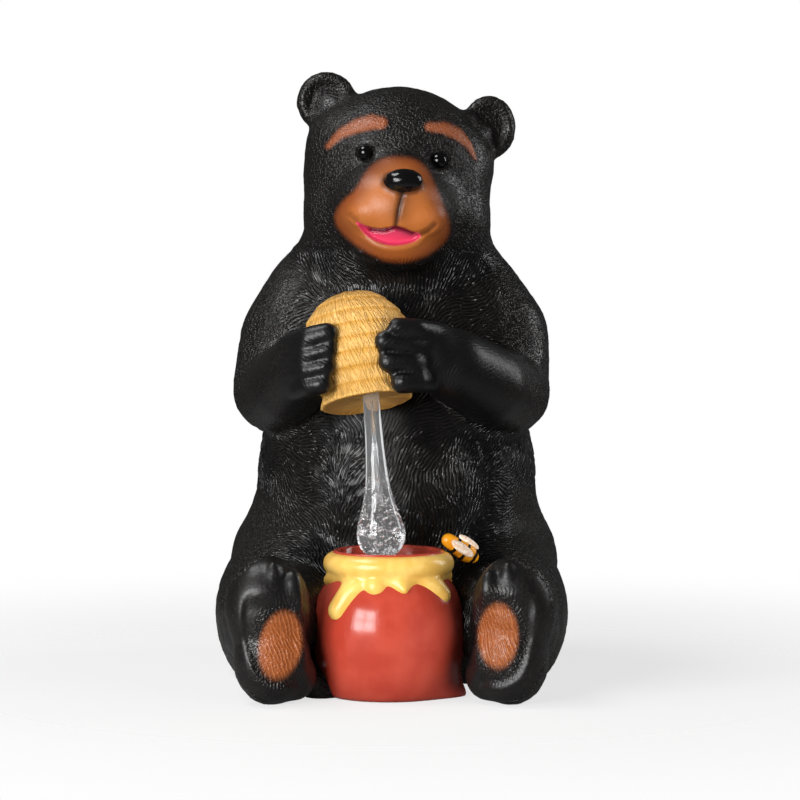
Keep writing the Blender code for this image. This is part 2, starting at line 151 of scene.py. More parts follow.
def modified(obj, kind, **settings):
    """Adds a modifier and applies it."""
    only(obj)
    modifier = obj.modifiers.new(kind.lower(), kind)
    for name, value in settings.items():
        setattr(modifier, name, value)
    bpy.ops.object.modifier_apply(modifier=modifier.name)
    return obj


def joined(pieces, name):
    bpy.ops.object.select_all(action="DESELECT")
    for obj in pieces:
        obj.select_set(True)
    bpy.context.view_layer.objects.active = pieces[0]
    bpy.ops.object.transform_apply(location=True, rotation=True, scale=True)
    bpy.ops.object.join()
    return settled(active(), name)


def flipped(point):
    return (-point[0], point[1], point[2])


clay = []


def ball(centre, radii, turn=(0, 0, 0), parts=4):
    """Lays a ball of clay, turned by degrees about X, Y and Z."""
    bpy.ops.mesh.primitive_ico_sphere_add(
        subdivisions=parts,
        radius=1,
        location=Vector(centre) * MM,
        rotation=[math.radians(angle) for angle in turn],
        scale=Vector(radii) * MM,
    )
    clay.append(active())


def limb(*stations, parts=3):
    """A row of balls through stations of (centre, radius)."""
    for (start, start_radius), (end, end_radius) in zip(stations, stations[1:]):
        start = Vector(start)
        end = Vector(end)
        steps = max(2, math.ceil((end - start).length / (0.25 * min(start_radius, end_radius))))
        for i in range(steps + 1):
            share = i / steps
            radius = start_radius + (end_radius - start_radius) * share
            ball(start.lerp(end, share), (radius, radius, radius), parts=parts)


def melted(name, voxel, rounds):
    """Melts the clay laid so far into one skin, and smooths it."""
    obj = joined(clay, name)
    clay.clear()
    modified(obj, "REMESH", mode="VOXEL", voxel_size=voxel * MM)
    modified(obj, "SMOOTH", factor=0.5, iterations=rounds)
    bpy.ops.object.shade_smooth()
    return obj


def turned(name, profile, segments):
    """A turned piece: rings of (radius, height) drawn out one from another, closed by a face at each end."""
    (radius, height), *rest = profile
    bpy.ops.mesh.primitive_circle_add(vertices=segments, radius=radius * MM, location=(0, 0, height * MM))
    obj = settled(active(), name)
    bpy.ops.object.mode_set(mode="EDIT")
    bpy.ops.mesh.select_all(action="SELECT")
    bpy.ops.mesh.edge_face_add()
    for next_radius, next_height in rest:
        rise = (0, 0, (next_height - height) * MM)
        bpy.ops.mesh.extrude_region_move(TRANSFORM_OT_translate={"value": rise})
        grow = next_radius / radius
        bpy.ops.transform.resize(value=(grow, grow, 1), center_override=(0, 0, next_height * MM))
        radius = next_radius
        height = next_height
    bpy.ops.mesh.select_all(action="SELECT")
    bpy.ops.mesh.normals_make_consistent(inside=False)
    bpy.ops.object.mode_set(mode="OBJECT")
    bpy.ops.object.shade_smooth()
    return obj


def block(name, low, high):
    low = Vector(low)
    high = Vector(high)
    bpy.ops.mesh.primitive_cube_add(size=1, location=(low + high) / 2 * MM, scale=(high - low) * MM)
    return settled(active(), name)


def placed(obj, matrix):
    obj.data.transform(matrix)
    return obj


def cut(obj, cutter):
    modified(obj, "BOOLEAN", operation="DIFFERENCE", solver="EXACT", object=cutter)
    bpy.data.objects.remove(cutter)


def read_all(obj, field):
    """The places or the normals of all vertices, the places in mm."""
    flat = np.empty(len(obj.data.vertices) * 3)
    obj.data.vertices.foreach_get(field, flat)
    return flat.reshape(-1, 3) / (MM if field == "co" else 1)


def move_all(obj, points):
    obj.data.vertices.foreach_set("co", (points * MM).ravel())
    obj.data.update()


def give(obj, name, values):
    """Stores a number or a vector on each vertex, for the paint to read."""
    kind, key = ("FLOAT_VECTOR", "vector") if values.ndim == 2 else ("FLOAT", "value")
    layer = obj.data.attributes.new(name, kind, "POINT")
    layer.data.foreach_set(key, values.astype(np.float32).ravel())


# Measuring across a surface


def as_seen(points):
    """Where points fall in the front view, in pixels of its 800 x 800 picture."""
    scale = PICTURE_SCALE / (EYE_DISTANCE + points[:, 1])
    across = PICTURE_SIDE / 2 + (points[:, 0] - EYE_ACROSS) * scale
    down = HORIZON - (points[:, 2] - EYE_HEIGHT) * scale
    return np.stack([across, down], axis=1)


def to_path(points, path):
    """Each point's distance to a path, and how far along the path it is, in corners."""
    best = np.full(len(points), np.inf)
    along = np.zeros(len(points))
    for i, (start, end) in enumerate(zip(path, path[1:])):
        start = np.array(start, float)
        reach = np.array(end, float) - start
        share = np.clip((points - start) @ reach / (reach @ reach), 0, 1)
        gap = np.linalg.norm(points - (start + share[:, None] * reach), axis=1)
        nearer = gap < best
        best[nearer] = gap[nearer]
        along[nearer] = i + share[nearer]
    return best, along


def rounded(outline):
    """A closed outline with its corners cut twice, so that it runs smoothly."""
    outline = np.array(outline, float)
    for _ in range(2):
        following = np.roll(outline, -1, axis=0)
        pairs = [0.75 * outline + 0.25 * following, 0.25 * outline + 0.75 * following]
        outline = np.stack(pairs, axis=1).reshape(-1, 2)
    return outline


def inside(points, outline):
    """How far each point is inside a closed outline, negative outside it."""
    outline = rounded(outline)
    gap, _ = to_path(points, [*outline, outline[0]])
    within = np.zeros(len(points), bool)
    for (x0, y0), (x1, y1) in zip(outline, np.roll(outline, -1, axis=0)):
        spans = (y0 > points[:, 1]) != (y1 > points[:, 1])
        within ^= spans & (points[:, 0] < x0 + (points[:, 1] - y0) / (y1 - y0 + 1e-9) * (x1 - x0))
    return np.where(within, gap, -gap)


def eased(values, low, high):
    """0 at low and 1 at high, smooth between."""
    share = np.clip((values - low) / (high - low), 0, 1)
    return share * share * (3 - 2 * share)


def uneven(points, seed):
    """Smooth random values from 0 to 1, that change over one unit."""
    cell = np.floor(points).astype(np.int64)
    share = points - cell
    share = share * share * (3 - 2 * share)
    total = np.zeros(len(points))
    for corner in np.ndindex(2, 2, 2):
        at = cell + corner
        mixed = (at[:, 0] * 73856093) ^ (at[:, 1] * 19349663) ^ (at[:, 2] * 83492791) ^ (seed * 2654435)
        mixed = (mixed ^ (mixed >> 13)) * 1274126177
        value = ((mixed ^ (mixed >> 16)) & 0xFFFF) / 65535
        total += value * np.prod(np.where(corner, share, 1 - share), axis=1)
    return total


# The bear's forms
TRUNK = [
    ((2, 27, 78), (58, 60, 64)),  # belly
    ((1, 36, 42), (69, 60, 44)),  # rump
    ((1.5, 34, 60), (61, 60, 40)),  # hips
    ((2.5, 22, 103), (50, 55, 34)),  # waist
    ((0, 20, 128), (50, 46, 43)),  # chest
    ((0, 22, 150), (44, 38, 28)),  # shoulders
    ((1.5, 16, 170), (41, 36, 24)),  # neck
    ((2.3, 10, 201.5), (38.8, 36, 37.5)),  # skull
    ((-16, 10, 213), (20, 24, 20)),  # temples
    ((22.5, 10, 207), (20, 24, 20)),
    ((-18, 6, 187), (18.5, 25, 20)),  # cheeks
    ((23, 6, 184), (18, 25, 20)),
    ((1.5, -16, 189), (26, 23, 21)),  # root of the muzzle
    ((0, 79.9, 34), (17, 18.3, 22)),  # tail
]
HAUNCH = ((36, 8, 24), (36.5, 54, 39))
LEG = [((40, -20, 26), 26), ((47, -68, 27), 18.5)]
UPPER_ARMS = [
    [((-29, 16, 153), 23), ((-39, 10, 136), 23.5), ((-48, -2, 115), 17.3)],
    [((30, 16, 152.5), 23.5), ((40.5, 10, 136), 24.5), ((47.5, -2, 114.5), 17)],
]
FOREARMS = [
    [((-47.5, -3, 114.5), 16.5), ((-41, -28, 119), 15.5), ((-34, -45, 127), 14.5)],
    [((47.5, -3, 114.5), 17), ((38, -30, 119), 16), ((24, -45, 127), 15)],
]
PALMS = [((-33, -50, 128.5), (12, 12, 13.5)), ((16, -50, 130.5), (13, 12, 13.5))]
# Each finger's root and tip, seen from the front as (x, z), and its thickness, from the top one down
LEFT_FINGERS = [
    ((-40, 134), (-24.6, 139.8), 4.6),
    ((-41, 129), (-24.8, 133.6), 4.6),
    ((-40, 124), (-25.6, 127.2), 4.6),
    ((-36, 118), (-27.0, 120.8), 4.6),
]
RIGHT_FINGERS = [
    ((20, 139.5), (2.2, 142.6), 3.7),
    ((20, 134), (-2.6, 137), 4.2),
    ((19, 127.5), (-0.8, 129.2), 4.6),
    ((17, 121.5), (4.4, 121.4), 4.8),
]
FOOT_PLACE = (46.5, -82, 0)
FOOT_TURN = 17
TOES = [(-12.3, -6.2, 40), (-4, -9.6, 45), (4.5, -9.2, 46.5), (11.5, -7, 43)]
WEB = ((-27, -62, 3), (8, 11, 11))
EARS = [((-26.6, 15, 232.6), (12.4, 6, 12.4), 0), ((39.8, 15, 222.2), (11.3, 6, 13.2), 12)]
EAR_ROOTS = [((-21, 12, 226), (13, 9, 11)), ((30, 12, 218), (13, 9, 11))]
EYES = [(-10.3, -22.6, 210.6), (18.9, -21.8, 207.4)]
EYE_RADIUS = 3.2
EYE_INSET = 1.1
NOSE = ((4.9, -43.8, 199), (7.8, 6.2, 4.8))

# Painted and carved edges, where they fall in the front view
MUZZLE = [
    (398, 156), (415, 158), (428, 168), (436, 186), (443, 203), (450, 220), (450, 236), (438, 250),
    (420, 260), (397, 264.5), (374, 258), (350, 242), (336.5, 228), (333.5, 214), (342, 201),
    (355, 190), (363, 176), (371, 165), (384, 157.5),
]
MOUTH = [
    (354, 220), (362, 224), (372, 228), (384, 229), (395, 225.5), (404, 228), (412, 231.5), (420, 233),
    (421.5, 236), (416, 241.5), (404, 245), (390, 246), (376, 242), (363, 233.5),
]
MOUTH_ROOF = [(372, 228.5), (384, 229.5), (395, 226), (404, 228.5), (413, 232)]
BROWS = [
    [(328, 147), (341, 134), (357, 126.5), (372, 122.5), (381, 123.5)],
    [(429, 127.5), (444, 128.5), (458, 134.5), (469, 144), (475.5, 158.5)],
]
BROW_WIDTHS = [(2.5, 5, 7, 7.5, 6.5), (4.5, 6, 6, 4.5, 2)]
PHILTRUM = [(402.5, 193), (399, 208), (395.8, 225)]
SMILES = [[(356, 221), (350, 215.5)], [(420, 235), (428, 231), (434.5, 225)]]
PADS = [((279.8, 647), (21.5, 34), 4), ((498.6, 637.5), (20, 32.5), 0)]
SOLES = [
    [
        (291, 550), (274, 554), (258, 560), (245, 570), (231, 583), (226, 596), (224.5, 615), (225, 634),
        (228, 651), (234, 670), (242, 685), (253, 697), (268, 706), (290, 706), (318, 706), (320, 670),
        (316, 643), (317, 610), (313, 585), (304, 562),
    ],
    [
        (500, 557), (513, 559), (528, 569), (541, 577), (550, 591), (552, 611), (549.5, 641), (546, 660),
        (538.5, 682), (527, 696), (507, 706), (488, 706), (462, 706), (461, 671), (461, 640), (459, 600),
        (463, 572), (479, 561),
    ],
]


def on_foot(side, inwards, y, z):
    """A point of a foot's own frame, in which the sole looks along -Y."""
    spot = Matrix.Rotation(math.radians(FOOT_TURN), 4, "Z") @ Vector((-inwards, y, z))
    return (side * (FOOT_PLACE[0] + spot.x), FOOT_PLACE[1] + spot.y, spot.z)


def trunk():
    for centre, radii in TRUNK:
        ball(centre, radii)
    centre, radii = HAUNCH
    ball(centre, radii)
    ball(flipped(centre), radii)
    limb(*LEG)
    limb(*[(flipped(point), radius) for point, radius in LEG])
    for arm in UPPER_ARMS:
        limb(*arm)
    return melted("trunk", 2, 30)


def limbs_and_muzzle():
    clay.append(trunk())
    for arm in FOREARMS:
        limb(*arm)
    for centre, radii in PALMS:
        ball(centre, radii)
    ball((1.5, -20, 189), (24, 27, 19), (0, 8, 0))  # muzzle
    ball((4, -24, 202), (13, 16, 9), (20, 8, 0))  # bridge of the nose
    ball((0.2, -20, 174.5), (18, 19, 11), (0, 8, 0))  # chin
    for centre, radii in [*EAR_ROOTS, WEB]:
        ball(centre, radii)
    for side in (-1, 1):
        ball(on_foot(side, 1.6, -1, 17), (15, 14, 18), (0, 0, -side * FOOT_TURN))
        ball(on_foot(side, -0.4, 0, 36), (16.6, 15, 20.5), (0, 0, -side * FOOT_TURN))
        ball(on_foot(side, 8, 5, 10), (9.5, 9.5, 10))
    return melted("limbs", 1.6, 10)


def figure():
    clay.append(limbs_and_muzzle())
    ball((-6.5, -32.2, 187.5), (12, 13, 9.5))  # upper lip
    ball((10.5, -32.2, 185.5), (12, 13, 9.5))
    for centre, radii, turn in EARS:
        ball(centre, radii, (0, 0, turn))
    ball(*NOSE)
    for (root_x, root_z), (x, z), thick in LEFT_FINGERS + RIGHT_FINGERS:
        middle = (0.4 * root_x + 0.6 * x, -63.5, 0.4 * root_z + 0.6 * z + 0.6)
        limb(((root_x, -50, root_z), thick + 0.4), (middle, thick + 0.3), ((x, -65.5, z), thick))
    for side in (-1, 1):
        for inwards, y, z in TOES:
            ball(on_foot(side, inwards, y + 2.6, z - 2), (4, 4.8, 11), parts=3)
    return melted("bear", 1.43, 3)


def refined_where(obj, chosen):
    """Halves the size of the faces whose centres a test chooses, where the carving is finest."""
    mesh = obj.data
    centres = np.empty(len(mesh.polygons) * 3)
    mesh.polygons.foreach_get("center", centres)
    only(obj)
    bpy.ops.object.mode_set(mode="EDIT")
    bpy.ops.mesh.select_mode(type="FACE")
    bpy.ops.mesh.select_all(action="DESELECT")
    bpy.ops.object.mode_set(mode="OBJECT")
    mesh.polygons.foreach_set("select", chosen(centres.reshape(-1, 3) / MM))
    bpy.ops.object.mode_set(mode="EDIT")
    bpy.ops.mesh.subdivide(number_cuts=1)
    bpy.ops.object.mode_set(mode="OBJECT")


def press(points, where, path, width, depth):
    """Presses the front in along a path in the front view, or raises it with a negative depth."""
    gap, along = to_path(where, path)
    half = np.interp(along, range(len(width)), width) if np.ndim(width) else width
    points[:, 1] += depth * np.clip(1 - (gap / half) ** 2, 0, 1) ** 1.5


def is_face(points):
    return (points[:, 1] < -8) & (points[:, 2] > 160)


def is_sole(points):
    return (points[:, 1] < -72) & (points[:, 2] < 62)


def carved_face(points):
    """Eye sockets with raised lids, brows, philtrum, the corners of the mouth and the mouth itself."""
    seen = as_seen(points)
    for eye in EYES:
        gap = np.linalg.norm(seen - as_seen(np.array([eye])), axis=1)
        points[:, 1] += 1.7 * eased(-gap, -15, -5)
        points[:, 1] -= 0.9 * np.exp(-(((gap - 10.5) / 2) ** 2))
    for path, widths in zip(BROWS, BROW_WIDTHS):
        press(points, seen, path, np.array(widths) * 1.6, -0.9)
    press(points, seen, PHILTRUM, (5, 3.2, 3.2), 1.3)
    for path in SMILES:
        press(points, seen, path, 4.5, 1.1)
    lip = inside(seen, MOUTH)
    points[:, 1] += 3.4 * eased(lip, -0.5, 4)
    points[:, 1] += 2.5 * eased(-to_path(seen, MOUTH_ROOF)[0], -5, -1) * (lip > 0)
    points[:, 1] -= 0.8 * np.exp(-(((lip + 4) / 3) ** 2)) * eased(seen[:, 1], 232, 240)
    return points


def carved_soles(points):
    """A dished sole inside a rounded rim, and a fine seam where the fur ends."""
    seen = as_seen(points)
    for side, sole in zip((-1, 1), SOLES):
        depth = inside(seen, sole)
        dish = SOLE_DISH_DEPTH * eased(depth, 13, 24) * eased(seen[:, 1], 590, 612)
        seam = 0.5 * np.exp(-((depth / 1.6) ** 2)) - 0.35 * np.exp(-(((depth + 2.5) / 1.4) ** 2))
        turn = math.radians(FOOT_TURN)
        own = points[:, 0] * side > 0
        points[:, 1] += np.where(own, (dish + seam) * math.cos(turn), 0)
        points[:, 0] += np.where(own, (dish + seam) * side * math.sin(turn), 0)
    return points


def carve(obj):
    points = read_all(obj, "co")
    for (x, y, z), radii, _ in EARS:
        offset = (points - (x, y, z)) / radii
        rim = np.hypot(offset[:, 0], offset[:, 2])
        front = eased(y - points[:, 1], 0, 2) * (points[:, 1] > 0) * (points[:, 2] > 200)
        points[:, 1] += EAR_DISH_DEPTH * front * eased(-rim, -0.84, -0.45)
    face = is_face(points)
    points[face] = carved_face(points[face])
    soles = is_sole(points)
    points[soles] = carved_soles(points[soles])
    hands = eased(-points[:, 1], 53, 57) * (points[:, 2] > 105) * (points[:, 2] < 155)
    for fingers in (LEFT_FINGERS, RIGHT_FINGERS):
        for upper, lower in zip(fingers, fingers[1:]):
            root, tip = ((np.array(upper[i]) + lower[i]) / 2 for i in (0, 1))
            gap, along = to_path(points[:, [0, 2]], [tip, 0.25 * tip + 0.75 * root])
            fade = 1 - 0.85 * along**2
            section = np.clip(1 - (gap / GROOVE_HALF_WIDTH) ** 2, 0, 1) ** 1.5
            points[:, 1] += GROOVE_DEPTH * hands * fade * section
    move_all(obj, points)


def nearest_pad(points):
    """How far out from a foot pad's middle each point is, as a share of its half size, and the way out."""
    seen = as_seen(points)
    best = np.full(len(points), np.inf)
    way = np.zeros_like(points)
    for centre, half, lean in PADS:
        offset = seen - centre
        offset[:, 0] += (seen[:, 1] - centre[1]) * lean / half[1]
        share = np.linalg.norm(offset / half, axis=1)
        nearer = share < best
        best[nearer] = share[nearer]
        way[nearer] = np.stack([offset[:, 0], 0 * share, -offset[:, 1]], axis=1)[nearer]
    return best, way / (np.linalg.norm(way, axis=1)[:, None] + 1e-6)


def sole_depth(points):
    seen = as_seen(points)
    depth = np.maximum(inside(seen, SOLES[0]), inside(seen, SOLES[1]))
    return np.where(is_sole(points), depth, -60)


def fur_depth(points):
    """How deep the fur is carved: 1 on the belly, less on the head, little on paws and soles."""
    _, y, z = points.T
    fur = 1 - 0.3 * eased(z, 168, 184)
    fur *= 1 - eased(inside(as_seen(points), MUZZLE), -5, 7) * is_face(points)
    reach = eased(-y, 8, 44) * eased(z, 98, 106) * (z < 162)
    fur *= 1 - 0.93 * reach
    pad, _ = nearest_pad(points)
    ring = 0.8 * eased(-pad, -1.7, -1.15)
    fur = np.where(sole_depth(points) > 0, ring, fur)
    return fur * (z > 0.5)


def fur_fineness(points):
    """1 where the fur is fine short dabs, on head, upper arms and haunches. 0 on chest, belly and back."""
    x, _, z = points.T
    head = eased(z, 166, 180)
    arms = eased(np.abs(x - 1), 36, 48) * eased(z, 96, 104)
    haunches = eased(np.abs(x - 1), 40, 52) * eased(-z, -84, -66)
    return np.maximum.reduce([head, arms, haunches, 0.5 * (sole_depth(points) > 0)])


def fur_lie(points):
    """The way the fur lies: down and in towards the belly's middle, in swirls, and out from the nose."""
    x, _, z = points.T
    angle = -x / 42 + (uneven(points / 15, 5) - 0.5) * 2.6
    lie = np.stack([np.sin(angle), 0.3 * (uneven(points / 20, 9) - 0.5), -np.cos(angle)], axis=1)
    out = points - np.array((4, -40, 205))
    out /= np.linalg.norm(out, axis=1)[:, None]
    out[:, 2] += 0.9 * (uneven(points / 9, 4) - 0.5)
    lie = np.where((z > 172)[:, None], out, lie)
    pad, way = nearest_pad(points)
    way = np.where((pad < 1.1)[:, None], (0.45, 0, -0.9), way)
    return np.where((sole_depth(points) > 0)[:, None], way, lie)


def raise_fur(obj):
    """Raises the fur in tufts about 2 mm wide, drawn out along its lie."""
    points = read_all(obj, "co")
    normals = read_all(obj, "normal")
    lie = fur_lie(points)
    along = lie - normals * np.sum(lie * normals, axis=1)[:, None]
    along /= np.linalg.norm(along, axis=1)[:, None] + 1e-6
    across = np.cross(normals, along)
    total = np.zeros(len(points))
    for seed, size in enumerate(TUFT_SPACINGS, 1):
        cells = np.floor(points / size)
        nearest = np.full(len(points), np.inf)
        centre = np.zeros_like(points)
        pick = np.zeros(len(points))
        for shift in np.ndindex(3, 3, 3):
            at = cells + shift - 1
            jitter = np.stack([uneven(at + 7 * i, seed * 10 + i) for i in range(3)], axis=1)
            spot = (at + jitter) * size
            gap = np.linalg.norm(points - spot, axis=1)
            nearer = gap < nearest
            nearest[nearer] = gap[nearer]
            centre[nearer] = spot[nearer]
            pick[nearer] = uneven(at[nearer], seed * 10 + 5)
        turn = (pick - 0.5) * 1.3
        offset = points - centre
        u = np.sum(offset * along, axis=1)
        v = np.sum(offset * across, axis=1)
        u, v = u * np.cos(turn) + v * np.sin(turn), v * np.cos(turn) - u * np.sin(turn)
        own = (u / TUFT_LENGTH + 40 * pick, v / TUFT_WIDTH, np.full(len(u), seed * 3.3))
        spot = np.stack(own, axis=1)
        total += uneven(spot, seed) - 0.5
    height = TUFT_HEIGHT * fur_depth(points) * (1 - 0.6 * fur_fineness(points)) * total
    move_all(obj, points + normals * height[:, None])


def paint_edges(bear):
    """Stores where each painted part and each kind of fur is, as distances that the paint softens."""
    points = read_all(bear, "co")
    seen = as_seen(points)
    face = is_face(points)
    give(bear, "fur", fur_depth(points))
    give(bear, "fine", fur_fineness(points))
    give(bear, "lie", fur_lie(points))
    give(bear, "muzzle", np.where(face, inside(seen, MUZZLE), -50))
    lip = inside(seen, MOUTH)
    give(bear, "mouth", np.where(face, lip, -50))
    # Painted shadow under the upper lip, in the top of the mouth opening
    lip_shadow = to_path(seen, MOUTH_ROOF)[0]
    give(bear, "lip_shadow", np.where(face & (lip > -1), np.exp(-((lip_shadow / 4) ** 2)), 0))
    brow = np.full(len(points), -50.0)
    for path, widths in zip(BROWS, BROW_WIDTHS):
        gap, along = to_path(seen, path)
        brow = np.maximum(brow, np.interp(along, range(len(widths)), widths) - gap)
    give(bear, "brow", np.where(face, brow, -50))
    nose = np.linalg.norm((points - NOSE[0]) / (NOSE[1][0] + 0.1, 8, NOSE[1][2] + 0.1), axis=1)
    give(bear, "nose", np.where(face & (points[:, 1] < -38), 1 - nose, -5))
    # Painted shade in the creases: along the philtrum and at the corners of the mouth, stronger at the
    # corner on the bear's left
    line = np.exp(-((to_path(seen, PHILTRUM)[0] / 2.2) ** 2))
    right, left = (np.exp(-((to_path(seen, path)[0] / 2.3) ** 2)) for path in SMILES)
    give(bear, "crease_shade", np.where(face, np.maximum.reduce([line, 0.3 * right, 0.6 * left]), 0))
    # Painted shadow under the nose: a dark brown haze down the top of the philtrum
    nose_shadow = np.exp(-((to_path(seen, [(403, 197), (399, 212)])[0] / 9) ** 2))
    give(bear, "nose_shadow", np.where(face, nose_shadow, 0))
    pad, _ = nearest_pad(points)
    give(bear, "pad", np.where(is_sole(points), 1 - pad, -5))


def make_bear():
    bear = figure()
    refined_where(bear, lambda centres: (centres[:, 1] < -22) & (centres[:, 2] > 166))
    carve(bear)
    raise_fur(bear)
    # The pot's own room, the ground and the panel's frame are cut out
    lip = MOUTH_RADIUS + LIP_THICKNESS
    room = [(0.5, 70), (lip - 1, 70), (lip - 1, 46)]
    room += [(pot_radius_at(z) - 1, z) for z in np.linspace(42, 0, 12)]
    room += [(pot_radius_at(0) - 1, -9), (0.5, -9)]
    cut(bear, placed(turned("pot_room", room, 64), Matrix.Translation(POT_PLACE * MM)))
    cut(bear, block("ground", (-200, -200, -60), (200, 200, 0)))
    cut(bear, panel_block("panel_room", PANEL_SIDE + 2 * BEZEL_WIDTH - 1, 7, 30))
    paint_edges(bear)
    return bear


def make_eye(name, centre):
    ball(Vector(centre) + Vector((0, EYE_INSET, 0)), (EYE_RADIUS, EYE_RADIUS, EYE_RADIUS))
    return melted(name, 0.3, 2)


# The pot, its glaze of honey, and the hive


def pot_radius_at(z):
    reach = (1.77 if z < POT_BELLY_HEIGHT else 1.23) * POT_BELLY_HEIGHT
    return POT_RADIUS * math.sqrt(max(0, 1 - ((z - POT_BELLY_HEIGHT) / reach) ** 2))


def pot_spot(bearing, z, out=0.0):
    """A point on the pot's outside at a bearing from its front, in degrees towards +X."""
    angle = math.radians(bearing)
    radius = max(pot_radius_at(z), MOUTH_RADIUS + LIP_THICKNESS) + out
    return POT_PLACE + Vector((radius * math.sin(angle), -radius * math.cos(angle), z))


def make_pot():
    lip = MOUTH_RADIUS + LIP_THICKNESS
    foot = pot_radius_at(0)
    profile = [(0.2, 0), (foot - 1, 0), (foot, 0.8)]
    profile += [(pot_radius_at(z), z) for z in np.linspace(2, POT_BELLY_HEIGHT, 14)]
    profile += [(max(lip, pot_radius_at(z)), z) for z in np.linspace(POT_BELLY_HEIGHT, 49, 14)[1:]]
    profile += [(lip, POT_HEIGHT - 1), (lip - 0.3, POT_HEIGHT - 0.3), (lip - 1, POT_HEIGHT)]
    profile += [(MOUTH_RADIUS + 0.5, POT_HEIGHT), (MOUTH_RADIUS, POT_HEIGHT - 0.6)]
    profile += [(MOUTH_RADIUS, POT_HEIGHT - 12)]
    hollow = np.linspace(POT_HEIGHT - 12, POT_FLOOR, 10)[1:]
    profile += [(max(MOUTH_RADIUS * 0.9, pot_radius_at(z) - POT_WALL), z) for z in hollow]
    profile += [(0.2, POT_FLOOR)]
    pot = turned("pot", profile, 128)
    # A flare at the foot on the bear's left
    points = read_all(pot, "co")
    bearing = np.degrees(np.arctan2(points[:, 0], -points[:, 1]))
    out = np.hypot(points[:, 0], points[:, 1])
    flare = 6.5 * np.clip(1 - points[:, 2] / 12, 0, 1) ** 2 * (out > 18)
    flare *= np.exp(-(((bearing - 82) / 24) ** 2))
    points[:, :2] *= (1 + flare / (out + 1e-6))[:, None]
    move_all(pot, points)
    return placed(pot, Matrix.Translation(POT_PLACE * MM))


# The honey that runs down the pot: bearing at the top and at the tip, height of the tip, and the half
# width at the top and at the tip
HONEY_RUNS = [
    (-31, -45, 30.5, 4.2, 4.1),
    (-66, -78, 41.8, 4.0, 2.8),
    (-12.5, -12.5, 39.8, 4.8, 3.9),
    (11, 14, 41.5, 6.5, 1.3),
    (42, 55, 36.6, 5.0, 3.5),
    (88, 92, 43.0, 3.6, 2.8),
    (118, 116, 39.0, 3.8, 3.4),
    (152, 156, 35.0, 4.2, 3.9),
    (-160, -163, 42.0, 4.6, 3.0),
    (-122, -124, 37.0, 4.0, 3.7),
]


def make_glaze():
    roll_z = POT_HEIGHT - 0.6 - GLAZE_ROLL
    ring = MOUTH_RADIUS + LIP_THICKNESS - 0.8
    for i in range(72):
        angle = math.tau * i / 72
        spot = POT_PLACE + Vector((ring * math.sin(angle), -ring * math.cos(angle), roll_z))
        ball(spot, (GLAZE_ROLL, GLAZE_ROLL, GLAZE_ROLL), parts=3)
        ball(pot_spot(5 * i, roll_z - 4.3, -0.9), (2.6, 2.6, 2.6), parts=2)
    for top_bearing, tip_bearing, tip, top_half, tip_half in HONEY_RUNS:
        for i in range(RUN_STEPS + 1):
            share = i / RUN_STEPS
            half = top_half + (tip_half - top_half) * share + 3.2 * (1 - share) ** 4
            z = roll_z - 4 + (tip + tip_half - roll_z + 4) * share
            # A ball sunk so far that what stands out of the pot has the run's width
            radius = max(half, (half**2 + RUN_DEPTH**2) / (2 * RUN_DEPTH))
            spot = pot_spot(top_bearing + (tip_bearing - top_bearing) * share, z, RUN_DEPTH - radius)
            ball(spot, (radius, radius, min(radius, 5)))
    glaze = melted("honey_glaze", 0.7, 5)
    # Open at the pot's mouth, and hollow where the pot is
    lip = MOUTH_RADIUS + LIP_THICKNESS
    core = [(0.2, 80), (MOUTH_RADIUS + 1.2, 80), (MOUTH_RADIUS + 1.2, POT_HEIGHT - 2)]
    core += [(lip - 0.6, POT_HEIGHT - 2.2)]
    core += [(max(lip, pot_radius_at(z)) - 0.6, z) for z in np.linspace(49, 20, 14)]
    core += [(0.2, 20)]
    cut(glaze, placed(turned("glaze_core", core, 128), Matrix.Translation(POT_PLACE * MM)))
    return glaze


def hive_matrix():
    forward, side = (math.radians(angle) for angle in HIVE_TILT)
    tilt = Matrix.Rotation(side, 4, "Y") @ Matrix.Rotation(forward, 4, "X")
    return Matrix.Translation(HIVE_PLACE * MM) @ tilt


def hive_radius_at(z):
    """A dome above, a neck below it, and a lip that flares out from the neck."""
    share = abs(z) / (HIVE_HEIGHT / 2)
    if z > 0:
        return HIVE_RADIUS * math.sqrt(max(0, 1 - share**2))
    return HIVE_RADIUS * (1 - 0.22 * eased(share, 0.15, 0.8) + 0.035 * eased(share, 0.8, 0.98))


